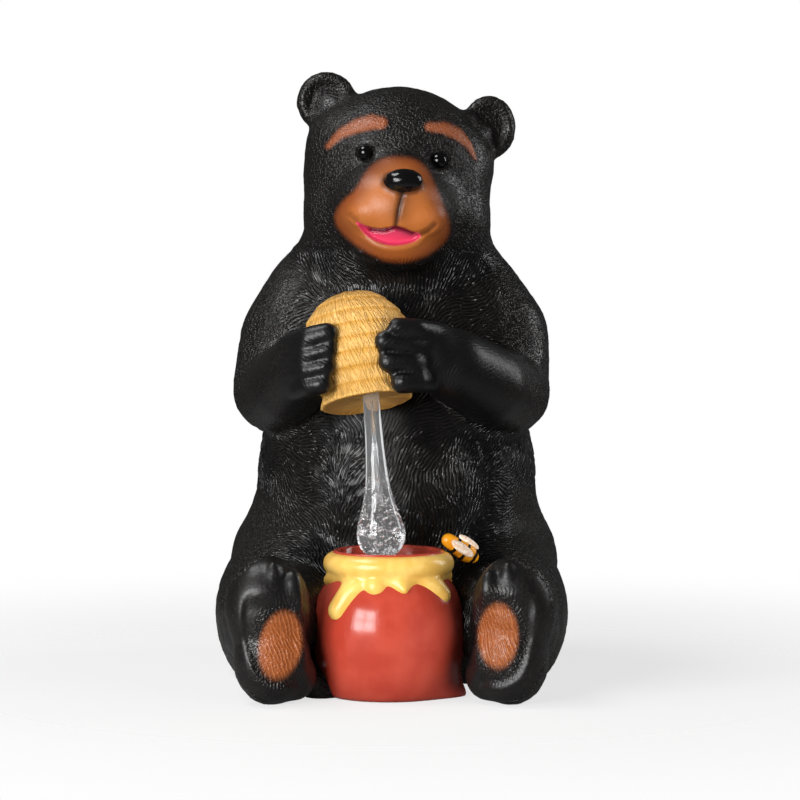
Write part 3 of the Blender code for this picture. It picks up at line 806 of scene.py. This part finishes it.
def make_hive():
    half = HIVE_HEIGHT / 2
    rows = HIVE_COILS * 9
    profile = [(0.2, half)]
    for i in range(1, rows):
        z = half - HIVE_HEIGHT * i / rows
        phase = i % 9 / 9
        rise = 0.75 * (phase**1.6 - 0.35) - 0.35 * eased(phase, 0.84, 1)
        profile.append((max(0.6, hive_radius_at(z) + rise * min(1, i / 6)), z))
    mouth = hive_radius_at(-half)
    profile += [(mouth - 0.1, -half + 0.25), (mouth - 0.8, -half)]
    profile += [(mouth - 2, -half + 0.6), (0.3, -half + 1.2)]
    hive = turned("beehive", profile, 160)
    points = read_all(hive, "co")
    angle = np.arctan2(points[:, 0], -points[:, 1])
    around = np.stack([angle * 8 + 0.12 * points[:, 2], points[:, 2] / 4, np.zeros(len(points))], axis=1)
    ripple = uneven(around, 3) - 0.5 + 0.6 * (uneven(around * (2.2, 1.6, 1) + 31, 8) - 0.5)
    out = np.hypot(points[:, 0], points[:, 1])
    points[:, :2] *= (1 + 0.5 * ripple * eased(out, 3, 9) / (out + 1e-6))[:, None]
    points[:, 2] += 0.45 * (uneven(around * (0.6, 0, 1) + 60, 5) - 0.5) * (out > 2)
    move_all(hive, points)
    give(hive, "coil", (half - points[:, 2]) / HIVE_HEIGHT * HIVE_COILS)
    give(hive, "straw", np.stack([angle * HIVE_RADIUS, points[:, 2], np.zeros(len(points))], axis=1))
    # Painted shade on the hive's flat underside, inside the rim
    under = eased(-points[:, 2], half - 1.3, half - 0.3) * eased(mouth - out, 0.2, 1.5)
    give(hive, "mouth", under)
    return placed(hive, hive_matrix())


# The clear drip, the bee and the panel's frame


def drip_ends():
    foot = POT_PLACE + Vector((-2.2, -2.2, POT_HEIGHT - DRIP_DIP))
    entry = hive_matrix() @ (Vector((*DRIP_ENTRY, -HIVE_HEIGHT / 2)) * MM) / MM
    return foot, entry


def drip_radius_at(z):
    if z < BULB_RADIUS:
        return math.sqrt(max(0, BULB_RADIUS**2 - (BULB_RADIUS - z) ** 2))
    return STEM_RADIUS + (BULB_RADIUS - STEM_RADIUS) / (1 + ((z - BULB_RADIUS) / STEM_TAPER) ** 2)


def make_bubbles(length):
    """Air in the drip: many small bubbles low down, and a long bright channel up the stem."""
    random = np.random.default_rng(7)
    bpy.ops.mesh.primitive_uv_sphere_add(segments=8, ring_count=5, radius=MM)
    pattern = active()
    bubbles = []
    for _ in range(BUBBLES):
        z = 1.3 + 31 * random.random() ** 1.4
        reach = (drip_radius_at(z) - 0.9) * math.sqrt(random.random())
        turn = math.tau * random.random()
        size = (0.16 + 0.26 * random.random()) * (1 if z < 22 else 0.7)
        bubble = pattern.copy()
        bubble.data = pattern.data.copy()
        bpy.context.collection.objects.link(bubble)
        bubble.location = (reach * math.cos(turn) * MM, reach * math.sin(turn) * MM, z * MM)
        bubble.rotation_euler = (random.random() * 1.2, random.random() * 1.2, turn)
        bubble.scale = (size, size, size * (1 + 1.2 * random.random()))
        bubbles.append(bubble)
    bpy.data.objects.remove(pattern)
    middle = (0.3 * MM, 0, (length - 26) * MM)
    bpy.ops.mesh.primitive_cone_add(
        vertices=24, radius1=1.25 * MM, radius2=0.3 * MM, depth=40 * MM, location=middle
    )
    bubbles.append(active())
    made = joined(bubbles, "bubbles")
    bpy.ops.object.shade_smooth()
    bpy.ops.object.mode_set(mode="EDIT")
    bpy.ops.mesh.select_all(action="SELECT")
    bpy.ops.mesh.flip_normals()
    bpy.ops.object.mode_set(mode="OBJECT")
    return made


def make_drip():
    foot, entry = drip_ends()
    length = (entry - foot).length + DRIP_INSET
    heights = [BULB_RADIUS * (1 - math.cos(math.pi / 2 * i / 12)) for i in range(1, 12)]
    heights += list(np.linspace(BULB_RADIUS, length, 40))
    profile = [(0.05, 0.001)] + [(drip_radius_at(z), z) for z in heights] + [(0.1, length)]
    drip = turned("clear_honey_drip", profile, 48)
    drip = joined([drip, make_bubbles(length)], "clear_honey_drip")
    turn = (entry - foot).to_track_quat("Z", "Y").to_matrix().to_4x4()
    return placed(drip, Matrix.Translation(foot * MM) @ turn)


def bee_frame():
    """The bee's middle, the way it points and the way its back faces."""
    middle = pot_spot(BEE_BEARING, POT_HEIGHT - 0.6, 8.2)
    along = Vector((0.80, 0.20, -0.56)).normalized()
    up = Vector((0.1, -0.75, 0.65)).normalized()
    return middle, along, (up - along * up.dot(along)).normalized()


def make_bee_body():
    long = BEE_LENGTH
    middle, along, _ = bee_frame()
    limb((middle - along * 0.34 * long, 0.16 * long), (middle - along * 0.26 * long, 0.17 * long))
    limb((middle - along * 0.1 * long, 0.2 * long), (middle + along * 0.12 * long, 0.22 * long))
    limb((middle + along * 0.18 * long, 0.22 * long), (middle + along * 0.34 * long, 0.14 * long))
    body = melted("bee_body", 0.3, 4)
    points = read_all(body, "co")
    give(body, "length", (points - np.array(middle)) @ np.array(along) / long)
    return body


def make_bee_wings():
    long = BEE_LENGTH
    middle, along, up = bee_frame()
    across = along.cross(up)
    turn = [math.degrees(angle) for angle in Matrix((along, -across, up)).transposed().to_euler()]
    near = middle + (up * 0.2 + across * 0.12 - along * 0.03) * long
    ball(near, (0.31 * long, 0.13 * long, 0.06 * long), turn)
    far = middle + (up * 0.15 - across * 0.17 + along * 0.07) * long
    ball(far, (0.28 * long, 0.1 * long, 0.06 * long), turn)
    return melted("bee_wings", 0.3, 2)


def panel_matrix():
    return Matrix.Translation(PANEL_PLACE * MM) @ Matrix.Rotation(math.radians(PANEL_TILT), 4, "X")


def panel_block(name, side, depth, outside):
    """A square block behind the panel's face, which looks along +Y in its own frame."""
    made = block(name, (-side / 2, -depth, -side / 2), (side / 2, outside, side / 2))
    return placed(made, panel_matrix())


def make_panel_frame():
    side = PANEL_SIDE + 2 * BEZEL_WIDTH
    bezel = block("panel_frame", (-side / 2, -BEZEL_DEPTH, -side / 2), (side / 2, 0, side / 2))
    modified(bezel, "BEVEL", width=1.5 * MM, segments=3)
    placed(bezel, panel_matrix())
    cut(bezel, panel_block("panel_seat", PANEL_SIDE + 0.6, 2.3, 5))
    only(bezel)
    bpy.ops.object.shade_smooth_by_angle(angle=math.radians(35))
    return bezel


# Materials


def linear(colour):
    """A sRGB hex colour as linear values."""
    parts = [int(colour[i : i + 2], 16) / 255 for i in (1, 3, 5)]
    return tuple(c / 12.92 if c <= 0.04045 else ((c + 0.055) / 1.055) ** 2.4 for c in parts) + (1,)


def add(tree, kind, settings, inputs, output=0):
    """Adds a node with its settings and inputs, each input a value or a link, and gives one output."""
    node = tree.nodes.new("ShaderNode" + kind)
    for name, value in settings.items():
        setattr(node, name, value)
    for name, value in inputs.items():
        if isinstance(value, bpy.types.NodeSocket):
            tree.links.new(value, node.inputs[name])
        else:
            node.inputs[name].default_value = value
    return node.outputs[output]


def finish(name, roughness, **plain):
    """A new material with plain values on its shader. Gives the material, its node tree and its shader."""
    made = bpy.data.materials.new(name)
    made.use_nodes = True
    shader = made.node_tree.nodes["Principled BSDF"]
    shader.inputs["Roughness"].default_value = roughness
    for key, value in plain.items():
        shader.inputs[key.replace("_", " ")].default_value = value
    return made, made.node_tree, shader


SOFT = {"interpolation_type": "SMOOTHSTEP"}
COLOURS = {"data_type": "RGBA"}
TIMES = {"operation": "MULTIPLY"}
TIMES_PLUS = {"operation": "MULTIPLY_ADD"}


def fur_strokes(tree, place, across, length, spacing):
    """The height of glossy strokes that lie across a given way. Their length and spacing are in mm."""
    inputs = {0: place, 1: 1 / length, 2: length / spacing, 3: 0.93, 5: across}
    waves = add(tree, "TexGabor", {"gabor_type": "3D"}, inputs, "Value")
    return add(tree, "MapRange", SOFT, {"Value": waves, "From Min": 0.4, "From Max": 0.68})


def black_fur_paint():
    """Cast resin brushed with black enamel over carved fur, which gives each stroke's crest a satin light.
    Muzzle, brows and pads are airbrushed, so their edges are soft. Nose and tongue are glossy."""
    made, tree, shader = finish("black_enamel_on_cast_fur", 0.35)
    place = add(tree, "TexCoord", {}, {}, "Object")
    place = add(tree, "VectorMath", {"operation": "SCALE"}, {0: place, "Scale": 1 / MM})
    normal = add(tree, "NewGeometry", {}, {}, "Normal")
    lie = add(tree, "Attribute", {"attribute_name": "lie"}, {}, "Vector")
    painted = {}
    for name in ("fur", "fine", "muzzle", "mouth", "lip_shadow", "brow", "nose", "crease_shade", "nose_shadow", "pad"):
        painted[name] = add(tree, "Attribute", {"attribute_name": name}, {}, "Fac")
    lean = add(tree, "VectorMath", {"operation": "DOT_PRODUCT"}, {0: lie, 1: normal}, "Value")
    lean = add(tree, "VectorMath", {"operation": "SCALE"}, {0: normal, "Scale": lean})
    level = add(tree, "VectorMath", {"operation": "SUBTRACT"}, {0: lie, 1: lean})
    along = add(tree, "VectorMath", {"operation": "NORMALIZE"}, {0: level})

    across = add(tree, "VectorMath", {"operation": "CROSS_PRODUCT"}, {0: normal, 1: along})
    # Long strokes on chest and belly, and dabs about 1 mm across elsewhere
    long_fur = fur_strokes(tree, place, across, STROKE_LENGTH, STROKE_SPACING)
    dabs = add(tree, "TexNoise", {}, {"Vector": place, "Scale": DABS_EACH_MM, "Detail": 1.0})
    limits = {"From Min": 0.42, "From Max": 0.64, "To Max": 0.42}
    fine_fur = add(tree, "MapRange", SOFT, {"Value": dabs, **limits})
    strokes = add(tree, "Mix", {}, {0: painted["fine"], 2: long_fur, 3: fine_fur})
    fur = painted["fur"]
    crest = add(tree, "Math", TIMES, {0: strokes, 1: fur})
    # Brush marks 1 mm wide, dust 0.4 mm across and rubbed patches 25 mm across
    brushed = add(tree, "TexNoise", {}, {"Vector": place, "Scale": 0.9, "Detail": 3.0})
    dust = add(tree, "TexNoise", {}, {"Vector": place, "Scale": 2.6, "Detail": 2.0})
    patches = add(tree, "TexNoise", {}, {"Vector": place, "Scale": 0.04, "Detail": 2.0})
    patch = add(tree, "MapRange", SOFT, {"Value": patches, "From Min": 0.4, "From Max": 0.65})
    rubbed = add(tree, "Math", TIMES, {0: patch, 1: crest})
    black = add(tree, "Mix", COLOURS, {0: rubbed, 6: linear("#09090a"), 7: linear("#26211e")}, 2)
    speck = add(tree, "MapRange", SOFT, {"Value": dust, "From Min": 0.56, "From Max": 0.7})
    dusty = add(tree, "Math", TIMES, {0: speck, 1: painted["fine"]})
    dusty = add(tree, "Math", TIMES, {0: dusty, 1: 0.55})
    black = add(tree, "Mix", COLOURS, {0: dusty, 6: black, 7: linear("#51443b")}, 2)
    ragged = add(tree, "Math", TIMES_PLUS, {0: dust, 1: 9.0, 2: -4.5})

    def sprayed(under, name, low, high, spread, colour):
        """Lays a colour where an attribute is over an edge, which is ragged by the spray."""
        edge = add(tree, "Math", TIMES_PLUS, {0: ragged, 1: spread, 2: painted[name]})
        amount = add(tree, "MapRange", SOFT, {"Value": edge, "From Min": low, "From Max": high})
        return add(tree, "Mix", COLOURS, {0: amount, 6: under, 7: colour}, 2)

    middle = add(tree, "MapRange", SOFT, {"Value": painted["muzzle"], "From Min": 1.0, "From Max": 20.0})
    orange = add(tree, "Mix", COLOURS, {0: middle, 6: linear("#80401a"), 7: linear("#ab622d")}, 2)
    colour = sprayed(black, "muzzle", -2.5, 4.0, 1.0, orange)
    colour = sprayed(colour, "brow", -2.0, 3.0, 1.0, linear("#8c4e30"))
    strands = add(tree, "Mix", COLOURS, {0: crest, 6: linear("#86441e"), 7: linear("#c07440")}, 2)
    colour = sprayed(colour, "pad", -0.16, 0.16, 0.03, strands)
    # Painted shadow under the nose, in dark brown
    nose_shadow = add(tree, "Math", TIMES, {0: painted["nose_shadow"], 1: 0.55})
    colour = add(tree, "Mix", COLOURS, {0: nose_shadow, 6: colour, 7: linear("#2a1812")}, 2)
    # Painted shade, near-black brown, in the creases of the philtrum and the mouth's corners
    crease_shade = add(tree, "Math", TIMES, {0: painted["crease_shade"], 1: 0.9})
    colour = add(tree, "Mix", COLOURS, {0: crease_shade, 6: colour, 7: linear("#241009")}, 2)
    limits = {"From Min": -0.4, "From Max": 0.0, "To Max": 0.7}
    shade = add(tree, "MapRange", SOFT, {"Value": painted["nose"], **limits})
    colour = add(tree, "Mix", COLOURS, {0: shade, 6: colour, 7: linear("#20120d")}, 2)
    mouth = add(tree, "MapRange", SOFT, {"Value": painted["mouth"], "From Min": -0.8, "From Max": 0.8})
    # The pink tongue, with a painted shadow in dark maroon under the upper lip
    tongue = add(tree, "Mix", COLOURS, {0: painted["lip_shadow"], 6: linear("#d23c5e"), 7: linear("#300a12")}, 2)
    colour = add(tree, "Mix", COLOURS, {0: mouth, 6: colour, 7: tongue}, 2)
    nose = add(tree, "MapRange", SOFT, {"Value": painted["nose"], "From Min": -0.03, "From Max": 0.02})
    colour = add(tree, "Mix", COLOURS, {0: nose, 6: colour, 7: linear("#0a090a")}, 2)
    tree.links.new(colour, shader.inputs["Base Color"])
    # Gloss
    dull = add(tree, "Math", TIMES_PLUS, {0: brushed, 1: 0.2, 2: 0.3})
    dull = add(tree, "Math", TIMES_PLUS, {0: fur, 1: -0.1, 2: dull})
    wet = add(tree, "Math", {"operation": "MAXIMUM"}, {0: nose, 1: mouth})
    soft = add(tree, "MapRange", SOFT, {"Value": painted["muzzle"], "From Min": -2.0, "From Max": 4.0})
    dull = add(tree, "Mix", {}, {0: soft, 2: dull, 3: 0.44})
    gloss = add(tree, "Mix", {}, {0: wet, 2: dull, 3: 0.16})
    tree.links.new(gloss, shader.inputs["Roughness"])
    # Relief
    slight = add(tree, "Math", TIMES, {0: brushed, 1: 0.14})
    height = add(tree, "Math", {"operation": "ADD"}, {0: crest, 1: slight})
    bump = add(tree, "Bump", {}, {"Strength": 1.0, "Distance": STROKE_RELIEF * MM, "Height": height})
    tree.links.new(bump, shader.inputs["Normal"])
    return made


def eye_enamel():
    """Thick black enamel, smooth as glass, which gives small sharp lights."""
    made, tree, shader = finish("eye_enamel", 0.05, Base_Color=linear("#050505"))
    place = add(tree, "TexCoord", {}, {}, "Object")
    dimple = add(tree, "TexNoise", {}, {"Vector": place, "Scale": 400.0})
    bump = add(tree, "Bump", {}, {"Distance": 0.01 * MM, "Height": dimple})
    tree.links.new(bump, shader.inputs["Normal"])
    return made


def pot_enamel():
    """Resin brushed with brick-red enamel: glossy, with faint upright brush marks."""
    made, tree, shader = finish("brick_red_enamel", 0.3)
    place = add(tree, "TexCoord", {}, {}, "Object")
    upright = add(tree, "VectorMath", {"operation": "MULTIPLY"}, {0: place, 1: (900.0, 900.0, 70.0)})
    marks = add(tree, "TexNoise", {}, {"Vector": upright, "Scale": 1.0, "Detail": 2.0})
    blotch = add(tree, "TexNoise", {}, {"Vector": place, "Scale": 70.0, "Detail": 3.0})
    patch = add(tree, "MapRange", SOFT, {"Value": blotch, "From Min": 0.35, "From Max": 0.65})
    colour = add(tree, "Mix", COLOURS, {0: patch, 6: linear("#ab3b2b"), 7: linear("#b94837")}, 2)
    # Painted shade, dark red, towards the pot's foot, strongest at the floor
    z = add(tree, "SeparateXYZ", {}, {0: place}, 2)
    low = add(tree, "MapRange", SOFT, {"Value": z, "From Min": 0.014, "From Max": 0.0, "To Max": 0.35})
    colour = add(tree, "Mix", COLOURS, {0: low, 6: colour, 7: linear("#6f2219")}, 2)
    tree.links.new(colour, shader.inputs["Base Color"])
    gloss = add(tree, "Math", TIMES_PLUS, {0: blotch, 1: 0.14, 2: 0.12})
    tree.links.new(gloss, shader.inputs["Roughness"])
    both = add(tree, "Math", TIMES_PLUS, {0: blotch, 1: 3.0, 2: marks})
    bump = add(tree, "Bump", {}, {"Strength": 0.6, "Distance": 0.06 * MM, "Height": both})
    tree.links.new(bump, shader.inputs["Normal"])
    return made


def honey_enamel():
    """Honey-yellow enamel laid on thickly, so it keeps a wet gloss and a slightly wavy skin."""
    made, tree, shader = finish("honey_enamel", 0.25)
    place = add(tree, "TexCoord", {}, {}, "Object")
    blotch = add(tree, "TexNoise", {}, {"Vector": place, "Scale": 130.0, "Detail": 3.0})
    patch = add(tree, "MapRange", SOFT, {"Value": blotch, "From Min": 0.35, "From Max": 0.7})
    colour = add(tree, "Mix", COLOURS, {0: patch, 6: linear("#e3b254"), 7: linear("#efc66c")}, 2)
    tree.links.new(colour, shader.inputs["Base Color"])
    bump = add(tree, "Bump", {}, {"Strength": 0.4, "Distance": 0.15 * MM, "Height": blotch})
    tree.links.new(bump, shader.inputs["Normal"])
    return made


def straw_enamel():
    """Resin cast from coiled straw, painted gold and darker between the reeds, with painted shade in the
    grooves between the coils and on the hive's underside.
    """
    made, tree, shader = finish("gold_enamel_on_cast_straw", 0.4)
    straw = add(tree, "Attribute", {"attribute_name": "straw"}, {}, "Vector")
    coil = add(tree, "Attribute", {"attribute_name": "coil"}, {}, "Fac")
    under = add(tree, "Attribute", {"attribute_name": "mouth"}, {}, "Fac")
    # Reeds 0.9 mm wide that slant across each coil
    angle = math.radians(-16)
    slant = add(tree, "VectorRotate", {"rotation_type": "Z_AXIS"}, {"Vector": straw, "Angle": angle})
    drawn = add(tree, "VectorMath", {"operation": "MULTIPLY"}, {0: slant, 1: (1.15, 0.2, 1.0)})
    flat = {"noise_dimensions": "2D"}
    reeds = add(tree, "TexNoise", flat, {"Vector": drawn, "Scale": 1.0, "Distortion": 0.5})
    lines = add(tree, "MapRange", SOFT, {"Value": reeds, "From Min": 0.32, "From Max": 0.66})
    # Painted light and shade across each coil: dark in the groove at its top, lighter as it bulges out, dark
    # again on the ledge at its bottom
    phase = add(tree, "Math", {"operation": "FRACT"}, {0: coil})
    lit = add(tree, "MapRange", SOFT, {"Value": phase, "From Min": 0.0, "From Max": 0.45})
    ledge_shade = add(tree, "MapRange", SOFT, {"Value": phase, "From Min": 1.0, "From Max": 0.93})
    coil_light_and_shade = add(tree, "Math", TIMES, {0: lit, 1: ledge_shade})
    worn = add(tree, "Math", TIMES_PLUS, {0: lines, 1: 0.4, 2: 0.6})
    deep = add(tree, "Math", TIMES, {0: coil_light_and_shade, 1: worn})
    colour = add(tree, "Mix", COLOURS, {0: deep, 6: linear("#d2993f"), 7: linear("#e8b566")}, 2)
    # Painted shade in darker gold on the hive's underside
    colour = add(tree, "Mix", COLOURS, {0: under, 6: colour, 7: linear("#a8702c")}, 2)
    tree.links.new(colour, shader.inputs["Base Color"])
    bump = add(tree, "Bump", {}, {"Strength": 1.0, "Distance": 0.5 * MM, "Height": lines})
    tree.links.new(bump, shader.inputs["Normal"])
    return made


def cast_acrylic():
    """Clear cast acrylic, polished: sharp lights, and the air in it shows as bright and dark specks."""
    clear = {"Base_Color": linear("#fbfcfd"), "IOR": 1.49, "Transmission_Weight": 0.94}
    return finish("cast_acrylic", 0.03, **clear)[0]


def bee_enamel():
    """Orange-yellow enamel with hand-painted black bands."""
    made, tree, shader = finish("bee_enamel", 0.25)
    length = add(tree, "Attribute", {"attribute_name": "length"}, {}, "Fac")
    place = add(tree, "TexCoord", {}, {}, "Object")
    wobble = add(tree, "TexNoise", {}, {"Vector": place, "Scale": 500.0})
    along = add(tree, "Math", TIMES_PLUS, {0: wobble, 1: 0.05, 2: length})
    turn = math.tau / 0.25
    turns = add(tree, "Math", TIMES_PLUS, {0: along, 1: turn, 2: -math.pi})
    bands = add(tree, "Math", {"operation": "COSINE"}, {0: turns})
    dark = add(tree, "MapRange", SOFT, {"Value": bands, "From Min": 0.5, "From Max": 0.65})
    back = add(tree, "MapRange", SOFT, {"Value": length, "From Min": -0.22, "From Max": -0.2})
    dark = add(tree, "Math", TIMES, {0: dark, 1: back})
    colour = add(tree, "Mix", COLOURS, {0: dark, 6: linear("#ee9c1c"), 7: linear("#120e0c")}, 2)
    tree.links.new(colour, shader.inputs["Base Color"])
    return made


def wing_enamel():
    """Cream enamel over the cast wings, with a thin wash in the veins."""
    made, tree, shader = finish("cream_enamel", 0.3)
    place = add(tree, "TexCoord", {}, {}, "Object")
    veins = add(tree, "TexNoise", {}, {"Vector": place, "Scale": 700.0, "Detail": 2.0})
    patch = add(tree, "MapRange", SOFT, {"Value": veins, "From Min": 0.4, "From Max": 0.6})
    colour = add(tree, "Mix", COLOURS, {0: patch, 6: linear("#e3c4a8"), 7: linear("#f6e6d6")}, 2)
    tree.links.new(colour, shader.inputs["Base Color"])
    return made


def solar_cells():
    """Crystalline silicon cells under clear epoxy: dark blue with fine silver lines, and a glassy top."""
    made, tree, shader = finish("silicon_under_epoxy", 0.1)
    place = add(tree, "TexCoord", {}, {}, "Object")
    x = add(tree, "SeparateXYZ", {}, {0: place}, 0)
    # Fine lines 2 mm apart, and a wider one every 8 mm
    fine = add(tree, "Math", {"operation": "PINGPONG"}, {0: x, 1: 1 * MM})
    thin = {"From Min": 0.1 * MM, "From Max": 0.03 * MM, "To Max": 0.5}
    fine = add(tree, "MapRange", SOFT, {"Value": fine, **thin})
    wide = add(tree, "Math", {"operation": "PINGPONG"}, {0: x, 1: 4 * MM})
    wide = add(tree, "MapRange", SOFT, {"Value": wide, "From Min": 0.35 * MM, "From Max": 0.2 * MM})
    lines = add(tree, "Math", {"operation": "MAXIMUM"}, {0: fine, 1: wide})
    crystal = add(tree, "TexVoronoi", {}, {"Vector": place, "Scale": 260.0}, "Distance")
    cell = add(tree, "Mix", COLOURS, {0: crystal, 6: linear("#0d1330"), 7: linear("#1a2555")}, 2)
    colour = add(tree, "Mix", COLOURS, {0: lines, 6: cell, 7: linear("#8d94a3")}, 2)
    tree.links.new(colour, shader.inputs["Base Color"])
    return made


def panel_frame_plastic():
    """Moulded black ABS, finely grained and semi-matt."""
    made, tree, shader = finish("black_abs", 0.45, Base_Color=linear("#171717"))
    place = add(tree, "TexCoord", {}, {}, "Object")
    texture = add(tree, "TexNoise", {}, {"Vector": place, "Scale": 1500.0})
    bump = add(tree, "Bump", {}, {"Distance": 0.05 * MM, "Height": texture})
    tree.links.new(bump, shader.inputs["Normal"])
    return made


# The studio


def soft_light(name, place, size, power):
    bpy.ops.object.light_add(type="AREA", location=place)
    lamp = active()
    lamp.name = name
    lamp.data.shape = "RECTANGLE"
    lamp.data.size = size[0]
    lamp.data.size_y = size[1]
    lamp.data.energy = power
    lamp.rotation_euler = (LIGHTS_AIM - Vector(place)).to_track_quat("-Z", "Y").to_euler()


def make_studio():
    bpy.ops.mesh.primitive_plane_add(size=12, location=(0, 0, -0.0002))
    floor = settled(active(), "floor")
    # Thin white paper, which fades into the white backdrop away from the statue
    paper, tree, shader = finish("white_paper", 0.9, Base_Color=linear("#f4f4f4"))
    place = add(tree, "TexCoord", {}, {}, "Object")
    away = add(tree, "VectorMath", {"operation": "LENGTH"}, {0: place}, "Value")
    near, far = FLOOR_FADE
    limits = {"From Min": far, "From Max": near, "To Max": FLOOR_OPACITY}
    fade = add(tree, "MapRange", SOFT, {"Value": away, **limits})
    tree.links.new(fade, shader.inputs["Alpha"])
    floor.data.materials.append(paper)
    # A window of two by two panes on the left, and smaller lights above and behind
    beside = (LIGHTS_AIM - KEY_PLACE).cross(Vector((0, 0, 1))).normalized()
    for i in (-1, 1):
        for j in (-1, 1):
            pane = KEY_PLACE + beside * PANE_STEPS[0] * i + Vector((0, 0, PANE_STEPS[1] * j))
            soft_light("key_pane", pane, PANE_SIZE, PANE_POWER)
    for name, (place, size, power) in SOFTBOXES.items():
        soft_light(name, place, size, power)
    # Two screens that fill in the colours, and leave no reflection in the black gloss
    for name, (place, power) in FILL_SCREENS.items():
        soft_light(name, place, FILL_SIZE, power)
        active().visible_glossy = False
    world = bpy.data.worlds.new("studio")
    world.use_nodes = True
    # The backdrop shows white, also through the clear drip, and lights the statue only a little
    tree = world.node_tree
    seen = add(tree, "LightPath", {}, {}, "Is Camera Ray")
    through = seen.node.outputs["Is Transmission Ray"]
    bright = add(tree, "Math", TIMES_PLUS, {0: through, 1: 0.8, 2: seen})
    strength = add(tree, "MapRange", {}, {"Value": bright, "To Min": ROOM_LIGHT, "To Max": 1.0})
    background = tree.nodes["Background"]
    background.inputs["Color"].default_value = linear("#ffffff")
    tree.links.new(strength, background.inputs["Strength"])
    bpy.context.scene.world = world
    bpy.context.scene.view_settings.view_transform = "Standard"
    eye = Vector((EYE_ACROSS, -EYE_DISTANCE, EYE_HEIGHT)) * MM
    bpy.ops.object.camera_add(location=eye)
    camera = active()
    camera.name = "camera"
    camera.data.sensor_width = 36
    camera.data.lens = 36 * PICTURE_SCALE / PICTURE_SIDE
    drop = (PICTURE_SIDE / 2 - HORIZON) / PICTURE_SCALE
    aim = eye + Vector((0, 1, -drop))
    camera.rotation_euler = (aim - eye).to_track_quat("-Z", "Y").to_euler()
    bpy.context.scene.camera = camera


def dress(obj, paint, slot, *nodes):
    obj.data.materials.clear()
    obj.data.materials.append(paint)
    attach(obj, "root")
    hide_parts(*nodes)


def main():
    dress(make_bear(), black_fur_paint(), "painted_resin", "bear_statue")
    enamel = eye_enamel()
    for name, centre in zip(("right_eye", "left_eye"), EYES):
        dress(make_eye(name, centre), enamel, "painted_resin", "bear_statue")
    dress(make_pot(), pot_enamel(), "painted_resin", "bear_statue")
    dress(make_glaze(), honey_enamel(), "painted_resin", "bear_statue")
    dress(make_hive(), straw_enamel(), "painted_resin", "bear_statue")
    dress(make_panel_frame(), panel_frame_plastic(), "painted_resin", "bear_statue")
    dress(make_drip(), cast_acrylic(), "clear_acrylic", "honey_drip")
    dress(make_bee_body(), bee_enamel(), "painted_bee", "bee")
    dress(make_bee_wings(), wing_enamel(), "painted_bee", "bee")
    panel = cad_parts["solar_panel"]
    panel.data.materials.clear()
    panel.data.materials.append(solar_cells())
    make_studio()


main()
